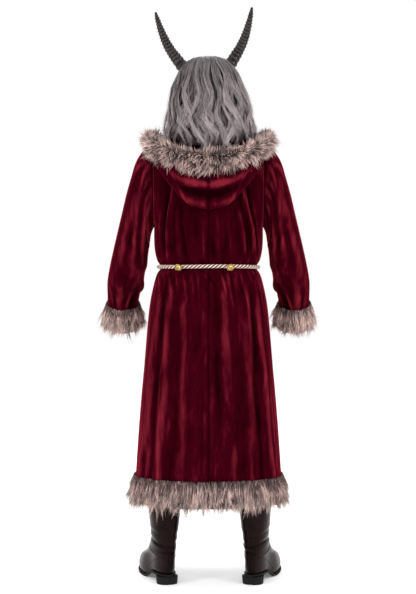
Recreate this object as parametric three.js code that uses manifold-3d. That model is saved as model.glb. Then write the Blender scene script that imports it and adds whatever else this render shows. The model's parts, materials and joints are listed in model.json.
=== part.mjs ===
// A horned winter-devil costume as it hangs on its wearer: an ankle-length velvet robe with a
// fallen hood and fur trim, a rope belt with two bells, a long wig with two horns, and a pair of boots.
// Millimetres, +Z up, the front faces -Y and the wearer's left hand is at +X.
// The origin is in the middle of the shoulders, which carry the robe.
import * as THREE from "three";
import { mergeVertices } from "three/addons/utils/BufferGeometryUtils.js";
import Module from "manifold-3d";

const wasm = await Module();
wasm.setup();

// Cloth, seams and the main levels
const CLOTH = 2.2;
const SEAM = 0.4;
const FLOOR_Z = -1520;
const HEM_Z = -1150;
const WAIST_Z = -416;
const UNDERARM_Z = -275;
const SHOULDER_TIP = { x: 193.5, z: 8 };
const ARMHOLE_HALF_DEPTH = 62;

// The neckline: a half ellipse behind and a deeper one in front, meeting on the shoulders.
const NECK = { side: 88, sideZ: 28, back: 74, backZ: 10, front: 92, frontZ: -42 };
const NECK_SHARE = 0.42;
const RING_POWER = 2.2;

// Half widths and depths of the robe from the underarm to the hem; the rope nips it at the waist.
const BODY = [
  { z: UNDERARM_Z, side: 191, back: 138, front: 138 },
  { z: -320, side: 191, back: 139, front: 141 },
  { z: -360, side: 188, back: 138, front: 142 },
  { z: -392, side: 180, back: 132, front: 138 },
  { z: WAIST_Z, side: 167.6, back: 121, front: 130 },
  { z: -440, side: 181, back: 134, front: 140 },
  { z: -475, side: 192, back: 147, front: 149 },
  { z: -545, side: 206, back: 160, front: 157 },
  { z: -630, side: 215, back: 165, front: 162 },
  { z: -740, side: 224, back: 171, front: 169 },
  { z: -860, side: 235, back: 179, front: 177 },
  { z: -1000, side: 246, back: 189, front: 187 },
  { z: HEM_Z, side: 256, back: 201, front: 198 },
];
const BODY_LEVELS = [HEM_Z, -1050, -930, -805, -690, -590, -510, -455, -430, WAIST_Z, -400, -365, -320];
const YOKE_ROWS = 6;
const BACK_COLUMNS = 13;
const FRONT_COLUMNS = 9;

// Folds of the robe: where each lies across the cloth at its upper and lower end (x), its half width,
// how far it stands out (or in, below zero), and the levels between which it shows.
const BACK_FOLDS = [
  { top: 160, low: 150, wide: 24, deep: -13, from: -70, to: -405 },
  { top: 134, low: 128, wide: 22, deep: 7, from: -90, to: -405 },
  { top: 106, low: 98, wide: 20, deep: 6, from: -190, to: -410 },
  { top: -6, low: -11, wide: 20, deep: -8, from: -240, to: -470 },
  { top: -96, low: -126, wide: 18, deep: 7, from: -200, to: -410 },
  { top: -124, low: -158, wide: 19, deep: 9, from: -110, to: -410 },
  { top: -146, low: -172, wide: 16, deep: -10, from: -90, to: -408 },
  { top: 158, low: 232, wide: 30, deep: 9, from: -430, to: -1400 },
  { top: 140, low: 200, wide: 26, deep: -9, from: -430, to: -1400 },
  { top: 124, low: 166, wide: 26, deep: 10, from: -430, to: -1400 },
  { top: 98, low: 118, wide: 28, deep: -6, from: -430, to: -1300 },
  { top: 70, low: 84, wide: 26, deep: 6, from: -430, to: -1250 },
  { top: 2, low: -4, wide: 22, deep: 7, from: -425, to: -1150 },
  { top: -19, low: -30, wide: 22, deep: -8, from: -425, to: -1050 },
  { top: -44, low: -58, wide: 24, deep: 6, from: -425, to: -900 },
  { top: -88, low: -106, wide: 34, deep: -9, from: -450, to: -1400 },
  { top: -122, low: -142, wide: 26, deep: 8, from: -425, to: -1350 },
  { top: -138, low: -176, wide: 22, deep: -8, from: -425, to: -1400 },
  { top: -152, low: -218, wide: 26, deep: 11, from: -425, to: -1500 },
];
const FRONT_FOLDS = [
  { top: 158, low: 150, wide: 24, deep: -12, from: -80, to: -405 },
  { top: 128, low: 118, wide: 22, deep: 7, from: -100, to: -405 },
  { top: 84, low: 72, wide: 22, deep: 6, from: -160, to: -408 },
  { top: -84, low: -74, wide: 22, deep: 6, from: -150, to: -408 },
  { top: -126, low: -116, wide: 22, deep: 8, from: -100, to: -405 },
  { top: -156, low: -150, wide: 24, deep: -11, from: -80, to: -405 },
  { top: 154, low: 222, wide: 30, deep: 10, from: -430, to: -1400 },
  { top: 134, low: 186, wide: 28, deep: -9, from: -430, to: -1400 },
  { top: 108, low: 148, wide: 28, deep: 9, from: -430, to: -1350 },
  { top: 74, low: 104, wide: 28, deep: -7, from: -430, to: -1250 },
  { top: 46, low: 62, wide: 26, deep: 8, from: -425, to: -1300 },
  { top: -42, low: -58, wide: 26, deep: 8, from: -425, to: -1350 },
  { top: -72, low: -98, wide: 28, deep: -8, from: -430, to: -1300 },
  { top: -104, low: -146, wide: 28, deep: 9, from: -430, to: -1400 },
  { top: -132, low: -190, wide: 28, deep: -9, from: -430, to: -1400 },
  { top: -152, low: -226, wide: 30, deep: 10, from: -430, to: -1400 },
];
const HOOD_SHADE_Z = -60;

// The left sleeve from its seam to the cuff: its outer and inner edge seen from behind,
// its half depth, how far its middle swings forward, and how far each ring tips with the forearm.
const SLEEVE = [
  { row: 0, outX: 193.9, outZ: 8, inX: 191.4, inZ: UNDERARM_Z, deep: 62, mid: 0, tip: 0 },
  { row: 1, outX: 224, outZ: -3, inX: 196, inZ: -283, deep: 68, mid: 0, tip: 0 },
  { row: 2, outX: 244, outZ: -26, inX: 200, inZ: -294, deep: 71, mid: 0, tip: 0 },
  { row: 3, outX: 259, outZ: -56, inX: 203, inZ: -306, deep: 72, mid: -1, tip: 0 },
  { row: 4, outX: 271, outZ: -96, inX: 205, inZ: -320, deep: 72, mid: -3, tip: 1 },
  { row: 5, outX: 289, outZ: -158, inX: 208, inZ: -338, deep: 71, mid: -7, tip: 3 },
  { row: 6, outX: 306, outZ: -228, inX: 212, inZ: -362, deep: 70, mid: -13, tip: 6 },
  { row: 7, outX: 323, outZ: -296, inX: 215, inZ: -392, deep: 69, mid: -22, tip: 10 },
  { row: 8, outX: 338, outZ: -356, inX: 218, inZ: -426, deep: 67, mid: -35, tip: 14 },
  { row: 9, outX: 352, outZ: -415, inX: 224, inZ: -458, deep: 64, mid: -51, tip: 18 },
  { row: 10, outX: 361, outZ: -465, inX: 235, inZ: -490, deep: 61, mid: -67, tip: 21 },
  { row: 11, outX: 362, outZ: -510, inX: 248, inZ: -520, deep: 57, mid: -83, tip: 23 },
  { row: 12, outX: 362, outZ: -553, inX: 253, inZ: -556, deep: 55, mid: -98, tip: 24 },
];
const SLEEVE_ROWS = 12;
const SLEEVE_COLUMNS = 16;
// Folds of a sleeve: place along it (rows), place round it (degrees, 0 at the outer edge, 90 behind),
// half length, half width in degrees, depth, and slant in degrees for each row.
const SLEEVE_FOLDS = [
  { along: 3.6, round: 150, long: 3.2, wide: 26, deep: 7, slant: 8 },
  { along: 5.2, round: 108, long: 4.0, wide: 24, deep: -6, slant: 5 },
  { along: 6.6, round: 60, long: 4.5, wide: 26, deep: 5, slant: -3 },
  { along: 8.6, round: 172, long: 1.3, wide: 46, deep: -9, slant: 0 },
  { along: 9.6, round: 150, long: 1.2, wide: 44, deep: 7, slant: 0 },
  { along: 10.6, round: 130, long: 2.2, wide: 24, deep: -6, slant: -6 },
  { along: 10.4, round: 78, long: 2.8, wide: 26, deep: 5, slant: 4 },
  { along: 5.0, round: 235, long: 4.2, wide: 26, deep: 6, slant: 4 },
  { along: 8.4, round: 285, long: 3.6, wide: 28, deep: -6, slant: -4 },
  { along: 10.2, round: 330, long: 2.4, wide: 24, deep: 5, slant: 3 },
];

// Fur: how far the pile stands off its backing at the top, the middle and the tips, and how it clumps.
const CUFF_FUR = { long: 106, pile: 22, flare: 12, jag: 15, locks: 12, rows: 4 };
const HEM_FUR = { long: 108, pile: 24, flare: 8, jag: 18, locks: 30, rows: 4 };

// The fallen hood, from behind (turn 0) round to the front: the lowest point of its pouch, its fur
// edge, how the fur leans outwards, and the fur's half height and half thickness.
const HOOD = [
  { turn: 0, lowX: 0.3, lowY: 162, lowZ: -225, edgeX: 0.3, edgeY: 186, edgeZ: -60, lean: 4, tall: 46, thick: 27 },
  { turn: 20, lowX: 68, lowY: 158, lowZ: -206, edgeX: 84, edgeY: 180, edgeZ: -47, lean: 5, tall: 45, thick: 27 },
  { turn: 38, lowX: 118, lowY: 148, lowZ: -156, edgeX: 142, edgeY: 154, edgeZ: -24, lean: 8, tall: 44, thick: 27 },
  { turn: 56, lowX: 160, lowY: 118, lowZ: -92, edgeX: 184, edgeY: 110, edgeZ: -2, lean: 14, tall: 43, thick: 26 },
  { turn: 76, lowX: 172, lowY: 72, lowZ: 2, edgeX: 203, edgeY: 54, edgeZ: 22, lean: 34, tall: 41, thick: 25 },
  { turn: 98, lowX: 152, lowY: 0, lowZ: 28, edgeX: 196, edgeY: -8, edgeZ: 41, lean: 78, tall: 38, thick: 25 },
  { turn: 122, lowX: 136, lowY: -62, lowZ: 14, edgeX: 166, edgeY: -84, edgeZ: 20, lean: 46, tall: 39, thick: 25 },
  { turn: 150, lowX: 84, lowY: -102, lowZ: -24, edgeX: 100, edgeY: -138, edgeZ: -28, lean: 18, tall: 40, thick: 24 },
  { turn: 178, lowX: 6, lowY: -126, lowZ: -60, edgeX: 27, edgeY: -158, edgeZ: -86, lean: 6, tall: 40, thick: 22 },
];
const HOOD_CLEARANCE = 7;
const HOOD_STAND = { out: 5, up: 15 };
// Where the hood's sections stand, in line with the columns of the robe at the neckline.
const HOOD_TURNS = [0, 9, 18, 27, 36, 54, 72, 90, 112.5, 135, 157.5, 178];
const HOOD_ROWS = 11;
const HOOD_SLACK = 13;
const HOOD_SLOT = 1.1;
const TRIM_STEPS = 20;
const TRIM_SIDES = 8;

// Rope belt
const ROPE_RADIUS = 6.6;
const ROPE_AWAY = ROPE_RADIUS + 1.6;
const ROPE_SIDES = 6;
const ROPE_STEPS = 42;
const KNOT = { wide: 23, tall: 17, deep: 15 };
const ROPE_END = { long: 330, drop: 11, apart: 7.4, swing: 14, steps: 20 };
const END_KNOT_RADIUS = 11;
const BELL_RADIUS = 12;
const BELL_WALL = 1.2;
const BELL_SLOT = 2.4;
const BELL_X = { left: 93, right: -67 };
const BELL_DIP = 14;

// The wig: half widths and depths of the hair, and where it ends round the head.
const HEAD = { lean: 2.9, pivotX: -8, y: -8 };
const HAIR = [
  { z: 324, side: 0, back: 0, front: 0 },
  { z: 318, side: 46, back: 50, front: 46 },
  { z: 300, side: 78, back: 84, front: 76 },
  { z: 272, side: 99, back: 106, front: 95 },
  { z: 238, side: 114, back: 118, front: 104 },
  { z: 190, side: 129, back: 127, front: 106 },
  { z: 140, side: 141, back: 134, front: 108 },
  { z: 95, side: 146, back: 140, front: 110 },
  { z: 50, side: 146, back: 150, front: 112 },
  { z: 10, side: 134, back: 158, front: 112 },
  { z: -40, side: 116, back: 168, front: 112 },
];
const HAIR_END = [
  { turn: 0, z: -30 },
  { turn: 28, z: -16 },
  { turn: 50, z: 36 },
  { turn: 70, z: 68 },
  { turn: 110, z: 72 },
  { turn: 128, z: 76 },
  { turn: 136, z: 170 },
  { turn: 146, z: 252 },
  { turn: 180, z: 266 },
];
const HAIR_WALL = 13;
const HAIR_LOCKS = 14;
const HAIR_STEPS_PER_LOCK = 4;
const HAIR_ROWS = 9;
const LOCK_RELIEF = 6.5;
const LOCK_TIP = 20;

// A horn: its line out from the head's middle, its height, its lean backwards and its radius.
const HORN = [
  { row: 0, out: 74, up: 286, back: -30, radius: 22 },
  { row: 1, out: 103, up: 327, back: -22, radius: 19.5 },
  { row: 2, out: 122, up: 355, back: -15, radius: 17.2 },
  { row: 3, out: 137, up: 383, back: -8, radius: 15.4 },
  { row: 4, out: 148, up: 411, back: -1, radius: 13 },
  { row: 5, out: 157.5, up: 440, back: 6, radius: 10.2 },
  { row: 6, out: 165, up: 468, back: 12, radius: 7.2 },
  { row: 7, out: 169.5, up: 489, back: 16, radius: 3.4 },
];
const HORN_RINGS = 19;
const HORN_STEPS = HORN_RINGS * 3;
const HORN_SIDES = 7;
const HORN_RIDGE = 1.5;

// A boot, in its own frame: rise above the sole, heel and toe along the foot, and half width.
const BOOT = [
  { rise: 0, heel: -36, toe: 250, half: 43, egg: 0.14 },
  { rise: 14, heel: -41, toe: 256, half: 47, egg: 0.13 },
  { rise: 30, heel: -43, toe: 252, half: 46, egg: 0.11 },
  { rise: 46, heel: -43, toe: 230, half: 44, egg: 0.08 },
  { rise: 58, heel: -42, toe: 192, half: 42, egg: 0.05 },
  { rise: 72, heel: -41, toe: 152, half: 41, egg: 0.02 },
  { rise: 92, heel: -39, toe: 118, half: 41, egg: 0 },
  { rise: 118, heel: -38, toe: 98, half: 42, egg: 0 },
  { rise: 150, heel: -42, toe: 92, half: 46, egg: 0 },
  { rise: 195, heel: -48, toe: 92, half: 51, egg: 0 },
  { rise: 245, heel: -53, toe: 94, half: 54, egg: 0 },
  { rise: 300, heel: -57, toe: 96, half: 56, egg: 0 },
];
const BOOT_SIDES = 16;
const LEATHER = 3.2;
const SOLE = { thick: 8, heelHeight: 27, spring: 7, welt: 8 };
const HEEL_BLOCK = { heel: -42, toe: 30, half: 38, egg: -0.06 };
const BOOT_PLACE = {
  left: { x: 148, y: 18, turnOut: 19 },
  right: { x: -158, y: 18, turnOut: 19 },
};

const V = (x, y, z) => new THREE.Vector3(x, y, z);
const UP = V(0, 0, 1);
const SIDEWAYS = V(1, 0, 0);
const BACKWARD = V(0, 1, 0);
const radians = THREE.MathUtils.degToRad;
const mix = (a, b, t) => a + (b - a) * t;
const clamp01 = (t) => Math.min(1, Math.max(0, t));
const smooth = (t) => clamp01(t) ** 2 * (3 - 2 * clamp01(t));
const signedPower = (value, power) => Math.sign(value) * Math.abs(value) ** power;
// A soft hill, 1 in its middle and 0 at one half width away.
const hill = (offset) => (Math.abs(offset) < 1 ? (1 + Math.cos(Math.PI * offset)) / 2 : 0);
// An even scatter between -1 and 1 for the whole number n.
const scatter = (n) => ((Math.sin(n * 127.1 + 311.7) * 43758.5453) % 1 + 1) % 1 * 2 - 1;

// The row of a table at a value of one of its columns, on a smooth curve through the rows.
function rowAt(table, column, value) {
  const sign = table.at(-1)[column] > table[0][column] ? 1 : -1;
  let i = 0;
  while (i < table.length - 2 && (value - table[i + 1][column]) * sign > 0) i += 1;
  const [a, b] = [table[i], table[i + 1]];
  const before = table[Math.max(0, i - 1)];
  const after = table[Math.min(table.length - 1, i + 2)];
  const span = b[column] - a[column];
  const t = clamp01((value - a[column]) / span);
  const row = {};
  for (const name of Object.keys(a)) {
    const slopeA = ((b[name] - before[name]) / (b[column] - before[column])) * span;
    const slopeB = ((after[name] - a[name]) / (after[column] - a[column])) * span;
    row[name] =
      (2 * t ** 3 - 3 * t ** 2 + 1) * a[name] +
      (t ** 3 - 2 * t ** 2 + t) * slopeA +
      (3 * t ** 2 - 2 * t ** 3) * b[name] +
      (t ** 3 - t ** 2) * slopeB;
  }
  row[column] = value;
  return row;
}

// Turns vertices and faces into a geometry whose faces point out, with flat slivers dropped.
function closedGeometry(points, faces) {
  const raw = new THREE.BufferGeometry();
  raw.setAttribute("position", new THREE.Float32BufferAttribute(points.flatMap((p) => [p.x, p.y, p.z]), 3));
  raw.setIndex(faces.flat());
  const merged = mergeVertices(raw, 1e-3);
  const index = merged.index.array;
  const position = merged.attributes.position;
  const kept = [];
  let volume = 0;
  for (let i = 0; i < index.length; i += 3) {
    const [a, b, c] = [index[i], index[i + 1], index[i + 2]];
    if (a === b || b === c || c === a) continue;
    kept.push([a, b, c]);
    const [pa, pb, pc] = [a, b, c].map((n) => V(0, 0, 0).fromBufferAttribute(position, n));
    volume += pa.dot(pb.cross(pc));
  }
  merged.setIndex(kept.flatMap(([a, b, c]) => (volume < 0 ? [a, c, b] : [a, b, c])));
  return merged;
}

// The direction out of a grid of points at one place, from its neighbours.
function gridNormal(grid, i, j, round) {
  const rows = grid.length;
  const columns = grid[0].length;
  const left = round ? (j - 1 + columns) % columns : Math.max(0, j - 1);
  const right = round ? (j + 1) % columns : Math.min(columns - 1, j + 1);
  const across = grid[i][right].clone().sub(grid[i][left]);
  const along = grid[Math.min(rows - 1, i + 1)][j].clone().sub(grid[Math.max(0, i - 1)][j]);
  return across.cross(along).normalize();
}

// The grid moved by a distance along its normals. keep(i, j) gives a direction along which a
// point may not move.
function moved(grid, distance, { round = false, flip = false, keep = () => null } = {}) {
  return grid.map((row, i) =>
    row.map((point, j) => {
      const normal = gridNormal(grid, i, j, round).multiplyScalar(flip ? -1 : 1);
      const axis = keep(i, j);
      if (axis) normal.addScaledVector(axis, -normal.dot(axis)).normalize();
      return point.clone().addScaledVector(normal, distance);
    }),
  );
}

// A closed solid between an outer grid and an inner grid of the same size.
function shell(outer, inner, { round = false, pole = false } = {}) {
  const rows = outer.length;
  const columns = outer[0].length;
  const points = [...outer.flat(), ...inner.flat()];
  const at = (side, i, j) => side * rows * columns + i * columns + (round ? j % columns : j);
  const faces = [];
  const quad = (a, b, c, d) => faces.push([a, b, c], [a, c, d]);
  const lastColumn = round ? columns : columns - 1;
  for (let i = 0; i < rows - 1; i++)
    for (let j = 0; j < lastColumn; j++) {
      quad(at(0, i, j), at(0, i, j + 1), at(0, i + 1, j + 1), at(0, i + 1, j));
      quad(at(1, i, j), at(1, i + 1, j), at(1, i + 1, j + 1), at(1, i, j + 1));
    }
  for (let j = 0; j < lastColumn; j++) {
    if (!pole) quad(at(0, 0, j), at(1, 0, j), at(1, 0, j + 1), at(0, 0, j + 1));
    quad(at(0, rows - 1, j), at(0, rows - 1, j + 1), at(1, rows - 1, j + 1), at(1, rows - 1, j));
  }
  if (!round)
    for (let i = 0; i < rows - 1; i++) {
      quad(at(0, i, 0), at(0, i + 1, 0), at(1, i + 1, 0), at(1, i, 0));
      quad(at(0, i, columns - 1), at(1, i, columns - 1), at(1, i + 1, columns - 1), at(0, i + 1, columns - 1));
    }
  return closedGeometry(points, faces);
}

// A closed solid through a list of rings with the same number of points. Its ends are filled straight
// across, from each point of the ring to the one opposite.
function loft(rings) {
  const sides = rings[0].length;
  const points = rings.flat();
  const faces = [];
  const at = (i, j) => i * sides + (j % sides);
  for (let i = 0; i < rings.length - 1; i++)
    for (let j = 0; j < sides; j++) {
      faces.push([at(i, j), at(i, j + 1), at(i + 1, j + 1)], [at(i, j), at(i + 1, j + 1), at(i + 1, j)]);
    }
  for (const [i, turn] of [[0, 1], [rings.length - 1, -1]])
    for (let j = 0; j < sides / 2; j++) {
      const [a, b, c, d] = [at(i, j), at(i, j + 1), at(i, sides - j - 1), at(i, sides - j)];
      faces.push(turn > 0 ? [a, c, b] : [a, b, c]);
      faces.push(turn > 0 ? [a, d, c] : [a, c, d]);
    }
  return closedGeometry(points, faces);
}

// Solids for joining and cutting, and back.
function toSolid(geometry) {
  const bare = new THREE.BufferGeometry();
  bare.setAttribute("position", geometry.getAttribute("position"));
  if (geometry.index) bare.setIndex(geometry.index);
  const merged = mergeVertices(bare, 1e-3);
  return new wasm.Manifold(
    new wasm.Mesh({
      numProp: 3,
      vertProperties: merged.attributes.position.array,
      triVerts: new Uint32Array(merged.index.array),
    }),
  );
}

function toGeometry(solid) {
  const mesh = solid.getMesh();
  const geometry = new THREE.BufferGeometry();
  const positions = [];
  for (let i = 0; i < mesh.numVert; i++)
    positions.push(...mesh.vertProperties.slice(i * mesh.numProp, i * mesh.numProp + 3));
  geometry.setAttribute("position", new THREE.Float32BufferAttribute(positions, 3));
  geometry.setIndex([...mesh.triVerts]);
  return geometry;
}

const COLOURS = {
  velvet: { color: 0x4a0716, roughness: 0.65, metalness: 0 },
  fur: { color: 0x8a7a78, roughness: 0.9, metalness: 0 },
  rope: { color: 0xcdb9ab, roughness: 0.8, metalness: 0 },
  brass: { color: 0xb59a4a, roughness: 0.3, metalness: 1 },
  hair: { color: 0x8b8588, roughness: 0.6, metalness: 0 },
  horn: { color: 0x1c1719, roughness: 0.45, metalness: 0 },
  leather: { color: 0x241c1b, roughness: 0.4, metalness: 0 },
  sole: { color: 0x171312, roughness: 0.7, metalness: 0 },
};
const costume = new THREE.Group();

function add(name, finish, geometry) {
  const mesh = new THREE.Mesh(geometry, new THREE.MeshStandardMaterial(COLOURS[finish]));
  mesh.name = name;
  costume.add(mesh);
  return mesh;
}

// Robe. face is 1 behind and -1 in front; across runs from -1 at the right edge to 1 at the left edge.
function foldDepth(face, across, z) {
  const folds = face > 0 ? BACK_FOLDS : FRONT_FOLDS;
  const size = z > UNDERARM_Z ? BODY[0] : rowAt(BODY, "z", z);
  const quarter = (size.side + (size.back + size.front) / 2) * 0.8;
  let depth = 0;
  for (const fold of folds) {
    if (z > fold.from || z < fold.to) continue;
    const share = (fold.from - z) / (fold.from - fold.to);
    const x = mix(fold.top, fold.low, Math.min(1, (fold.from - z) / (fold.from - Math.max(fold.to, HEM_Z))));
    const middle = Math.asin(Math.max(-1, Math.min(1, x / size.side))) / (Math.PI / 2);
    const fade = Math.min(1, smooth(share * 5), smooth((1 - share) * 4));
    depth += fold.deep * fade * hill(((across - middle) * quarter) / fold.wide);
  }
  const nip = smooth((Math.abs(z - WAIST_Z) - 6) / 30);
  const shade = face > 0 ? smooth((HOOD_SHADE_Z - z) / 60) : smooth((-70 - z) / 50);
  return depth * nip * shade * (1 - smooth((Math.abs(across) - 0.9) / 0.1));
}

function bodyPoint(face, across, z) {
  const size = rowAt(BODY, "z", z);
  const angle = (across * Math.PI) / 2;
  const depth = face > 0 ? size.back : size.front;
  const x = size.side * signedPower(Math.sin(angle), 2 / RING_POWER);
  const y = face * Math.max(depth * signedPower(Math.cos(angle), 2 / RING_POWER), SEAM / 2);
  const out = V(x / size.side ** 2, y / depth ** 2, 0).normalize();
  return V(x, y, z).addScaledVector(out, foldDepth(face, across, z));
}

// The upper edge of a panel: the neckline, then the shoulder seam.
function topEdge(face, across) {
  const share = Math.abs(across);
  const side = Math.sign(across);
  if (share <= NECK_SHARE) {
    const angle = ((share / NECK_SHARE) * Math.PI) / 2;
    const depth = face > 0 ? NECK.back : NECK.front;
    const middleZ = face > 0 ? NECK.backZ : NECK.frontZ;
    return V(
      side * NECK.side * Math.sin(angle),
      face * Math.max(depth * Math.cos(angle), SEAM / 2),
      mix(middleZ, NECK.sideZ, 1 - Math.cos(angle)),
    );
  }
  const along = (share - NECK_SHARE) / (1 - NECK_SHARE);
  return V(
    side * mix(NECK.side, SHOULDER_TIP.x, along),
    (face * SEAM) / 2,
    mix(NECK.sideZ, SHOULDER_TIP.z, along ** 1.2),
  );
}

// A point of the yoke, from the underarm level (rise 0) up to the top edge (rise 1).
function yokePoint(face, across, rise) {
  const share = Math.abs(across);
  const foot = bodyPoint(face, across, UNDERARM_Z);
  const top = topEdge(face, across);
  const rounding = (1 - rise ** 3.2) ** 0.6;
  const z = mix(UNDERARM_Z, top.z, rise);
  let y = top.y + (foot.y - top.y) * rounding;
  const armhole = face * (SEAM / 2 + ARMHOLE_HALF_DEPTH * 2 * Math.sqrt(rise * (1 - rise)));
  y += smooth((share - 0.5) / 0.5) * (armhole - (face * SEAM) / 2);
  const x = mix(foot.x, top.x, rise ** 0.8);
  const point = V(x, y, z);
  return point.addScaledVector(V(0, face, 0), foldDepth(face, across, z));
}

// Where the columns of a panel lie, from its centre line to its side: close together at the neckline.
function columnShares(columns) {
  const inner = Math.round((columns - 1) * 0.45);
  return [...Array(columns).keys()].map((j) =>
    j <= inner ? (NECK_SHARE * j) / inner : mix(NECK_SHARE, 1, (j - inner) / (columns - 1 - inner)),
  );
}

// One quarter of the robe. face is 1 behind and -1 in front; side is 1 on the left and -1 on the right.
function panel(face, side, columns) {
  const shares = columnShares(columns).map((share) => share * side);
  const grid = BODY_LEVELS.map((z) => shares.map((across) => bodyPoint(face, across, z)));
  for (let i = 0; i <= YOKE_ROWS; i++) {
    const rise = (1 - Math.cos((Math.PI * i) / YOKE_ROWS)) / 2;
    grid.push(shares.map((across) => yokePoint(face, across, rise)));
  }
  for (const row of grid) row[0].x = (side * SEAM) / 2;
  const last = grid.length - 1;
  const keep = (i, j) => {
    if (j === 0) return SIDEWAYS;
    if (j === columns - 1) return i > BODY_LEVELS.length && i < last ? SIDEWAYS : BACKWARD;
    if (i === last && Math.abs(shares[j]) > NECK_SHARE - 0.01) return BACKWARD;
    return i === 0 ? UP : null;
  };
  return shell(grid, moved(grid, -CLOTH, { flip: face * side > 0, keep }));
}

// The direction down a sleeve at right angles to one of its rings.
function sleeveAlong(row) {
  const s = rowAt(SLEEVE, "row", row);
  const outward = V(s.outX - s.inX, 0, s.outZ - s.inZ);
  const backward = V(0, Math.cos(radians(s.tip)), -Math.sin(radians(s.tip)));
  return backward.cross(outward).normalize();
}

// Sleeve, as rings round a line that swings forward below the elbow. side is 1 for the left one.
function sleeveRing(row, columns, grow = 0) {
  const s = rowAt(SLEEVE, "row", row);
  const middle = V((s.outX + s.inX) / 2, s.mid, (s.outZ + s.inZ) / 2);
  const outward = V((s.outX - s.inX) / 2, 0, (s.outZ - s.inZ) / 2);
  const backward = V(0, Math.cos(radians(s.tip)), -Math.sin(radians(s.tip))).multiplyScalar(s.deep);
  return [...Array(columns).keys()].map((j) => {
    const degrees = (j / columns) * 360;
    const turn = outward
      .clone()
      .multiplyScalar(Math.cos(radians(degrees)))
      .addScaledVector(backward, Math.sin(radians(degrees)));
    let depth = grow;
    for (const fold of SLEEVE_FOLDS) {
      const middleDegrees = fold.round + fold.slant * (row - fold.along);
      const away = ((degrees - middleDegrees + 540) % 360) - 180;
      depth += fold.deep * hill((row - fold.along) / fold.long) * hill(away / fold.wide);
    }
    return middle.clone().add(turn.clone().addScaledVector(turn.clone().normalize(), depth));
  });
}

const mirrored = (grid, side) => grid.map((row) => row.map((p) => V(p.x * side, p.y, p.z)));

function sleeve(side) {
  const rows = [...Array(SLEEVE_ROWS).keys()].map((i) => (i / (SLEEVE_ROWS - 1)) * (SLEEVE.length - 1));
  const outer = mirrored(rows.map((row) => sleeveRing(row, SLEEVE_COLUMNS)), side);
  const end = sleeveAlong(SLEEVE.length - 1);
  end.x *= side;
  const keep = (i) => (i === 0 ? SIDEWAYS : i === rows.length - 1 ? end : null);
  return shell(outer, moved(outer, -CLOTH, { round: true, flip: side > 0, keep }), { round: true });
}

// A ring of fur that hangs below an edge. edge gives the backing's points, down and out its directions.
function furRing(edge, down, out, fur, seed) {
  const columns = fur.locks * 2;
  const outer = [];
  const inner = [];
  for (let i = 0; i < fur.rows; i++) {
    const t = i / (fur.rows - 1);
    const rise = Math.sin(Math.PI * Math.min(1, 0.12 + t * 0.62)) ** 0.7;
    const outerRow = [];
    const innerRow = [];
    for (let j = 0; j < columns; j++) {
      const lock = j % 2;
      const noise = scatter(seed + j * 3 + i * 17);
      const tip = t ** 2 * fur.jag * ((lock ? 0.9 : -0.9) + 0.8 * scatter(seed + j));
      const length = SEAM + t * (fur.long - fur.jag) + tip;
      const stand = fur.pile * rise * (0.92 + 0.16 * noise) * (i === fur.rows - 1 ? 0.35 : 1);
      const root = edge(j, columns);
      const flare = fur.flare * t ** 1.3;
      const base = root.clone().addScaledVector(down(j, columns), length);
      outerRow.push(base.clone().addScaledVector(out(j, columns), stand + flare));
      innerRow.push(base.clone().addScaledVector(out(j, columns), flare - CLOTH));
    }
    outer.push(outerRow);
    inner.push(innerRow);
  }
  return { outer, inner };
}

function cuffFur(side) {
  const end = SLEEVE.at(-1);
  const middle = V((end.outX + end.inX) / 2, end.mid, (end.outZ + end.inZ) / 2);
  const along = sleeveAlong(SLEEVE.length - 1);
  const edge = (j, n) => sleeveRing(SLEEVE.length - 1, n)[j];
  const out = (j, n) => {
    const from = edge(j, n).sub(middle);
    return from.addScaledVector(along, -from.dot(along)).normalize();
  };
  const { outer, inner } = furRing(edge, () => along, out, CUFF_FUR, 5 + side);
  return shell(mirrored(outer, side), mirrored(inner, side), { round: true });
}

function hemPoint(j, n) {
  const turn = (j / n) * 4;
  const face = turn <= 1 || turn > 3 ? 1 : -1;
  const across = turn <= 1 ? turn : turn <= 3 ? 2 - turn : turn - 4;
  const point = bodyPoint(face, across, HEM_Z);
  if (Math.abs(Math.abs(across) - 1) < 1e-6) point.y = 0;
  return point;
}

function hemFur() {
  const down = () => V(0, 0, -1);
  const out = (j, n) => {
    const size = BODY.at(-1);
    const p = hemPoint(j, n);
    return V(p.x / size.side ** 2, p.y / size.back ** 2, 0).normalize();
  };
  const { outer, inner } = furRing(hemPoint, down, out, HEM_FUR, 40);
  return shell(outer, inner, { round: true });
}

// Hood. Each half runs from its seam behind to the front edge; a section goes from the neck seam,
// down the inside of the pouch, round its bottom and up to the fur edge.
function neckPoint(turn) {
  const face = turn <= 90 ? 1 : -1;
  const angle = radians(turn <= 90 ? turn : 180 - turn);
  const p = topEdge(face, (NECK_SHARE * angle) / (Math.PI / 2));
  return V(Math.max(p.x, SEAM / 2), p.y, p.z + SEAM * 2.5);
}

// How far the robe's surface stands from its middle at a place above the underarm.
function yokeDepth(face, x, z) {
  let before = null;
  for (let across = 0; across <= 1; across += 0.02) {
    const rise = (z - UNDERARM_Z) / (topEdge(face, across).z - UNDERARM_Z);
    const point = rise < 1 ? yokePoint(face, across, Math.max(0, rise)) : null;
    if (before && point && before.x <= x && point.x >= x)
      return Math.abs(mix(before.y, point.y, (x - before.x) / (point.x - before.x)));
    before = point;
  }
  return 0;
}

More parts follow.
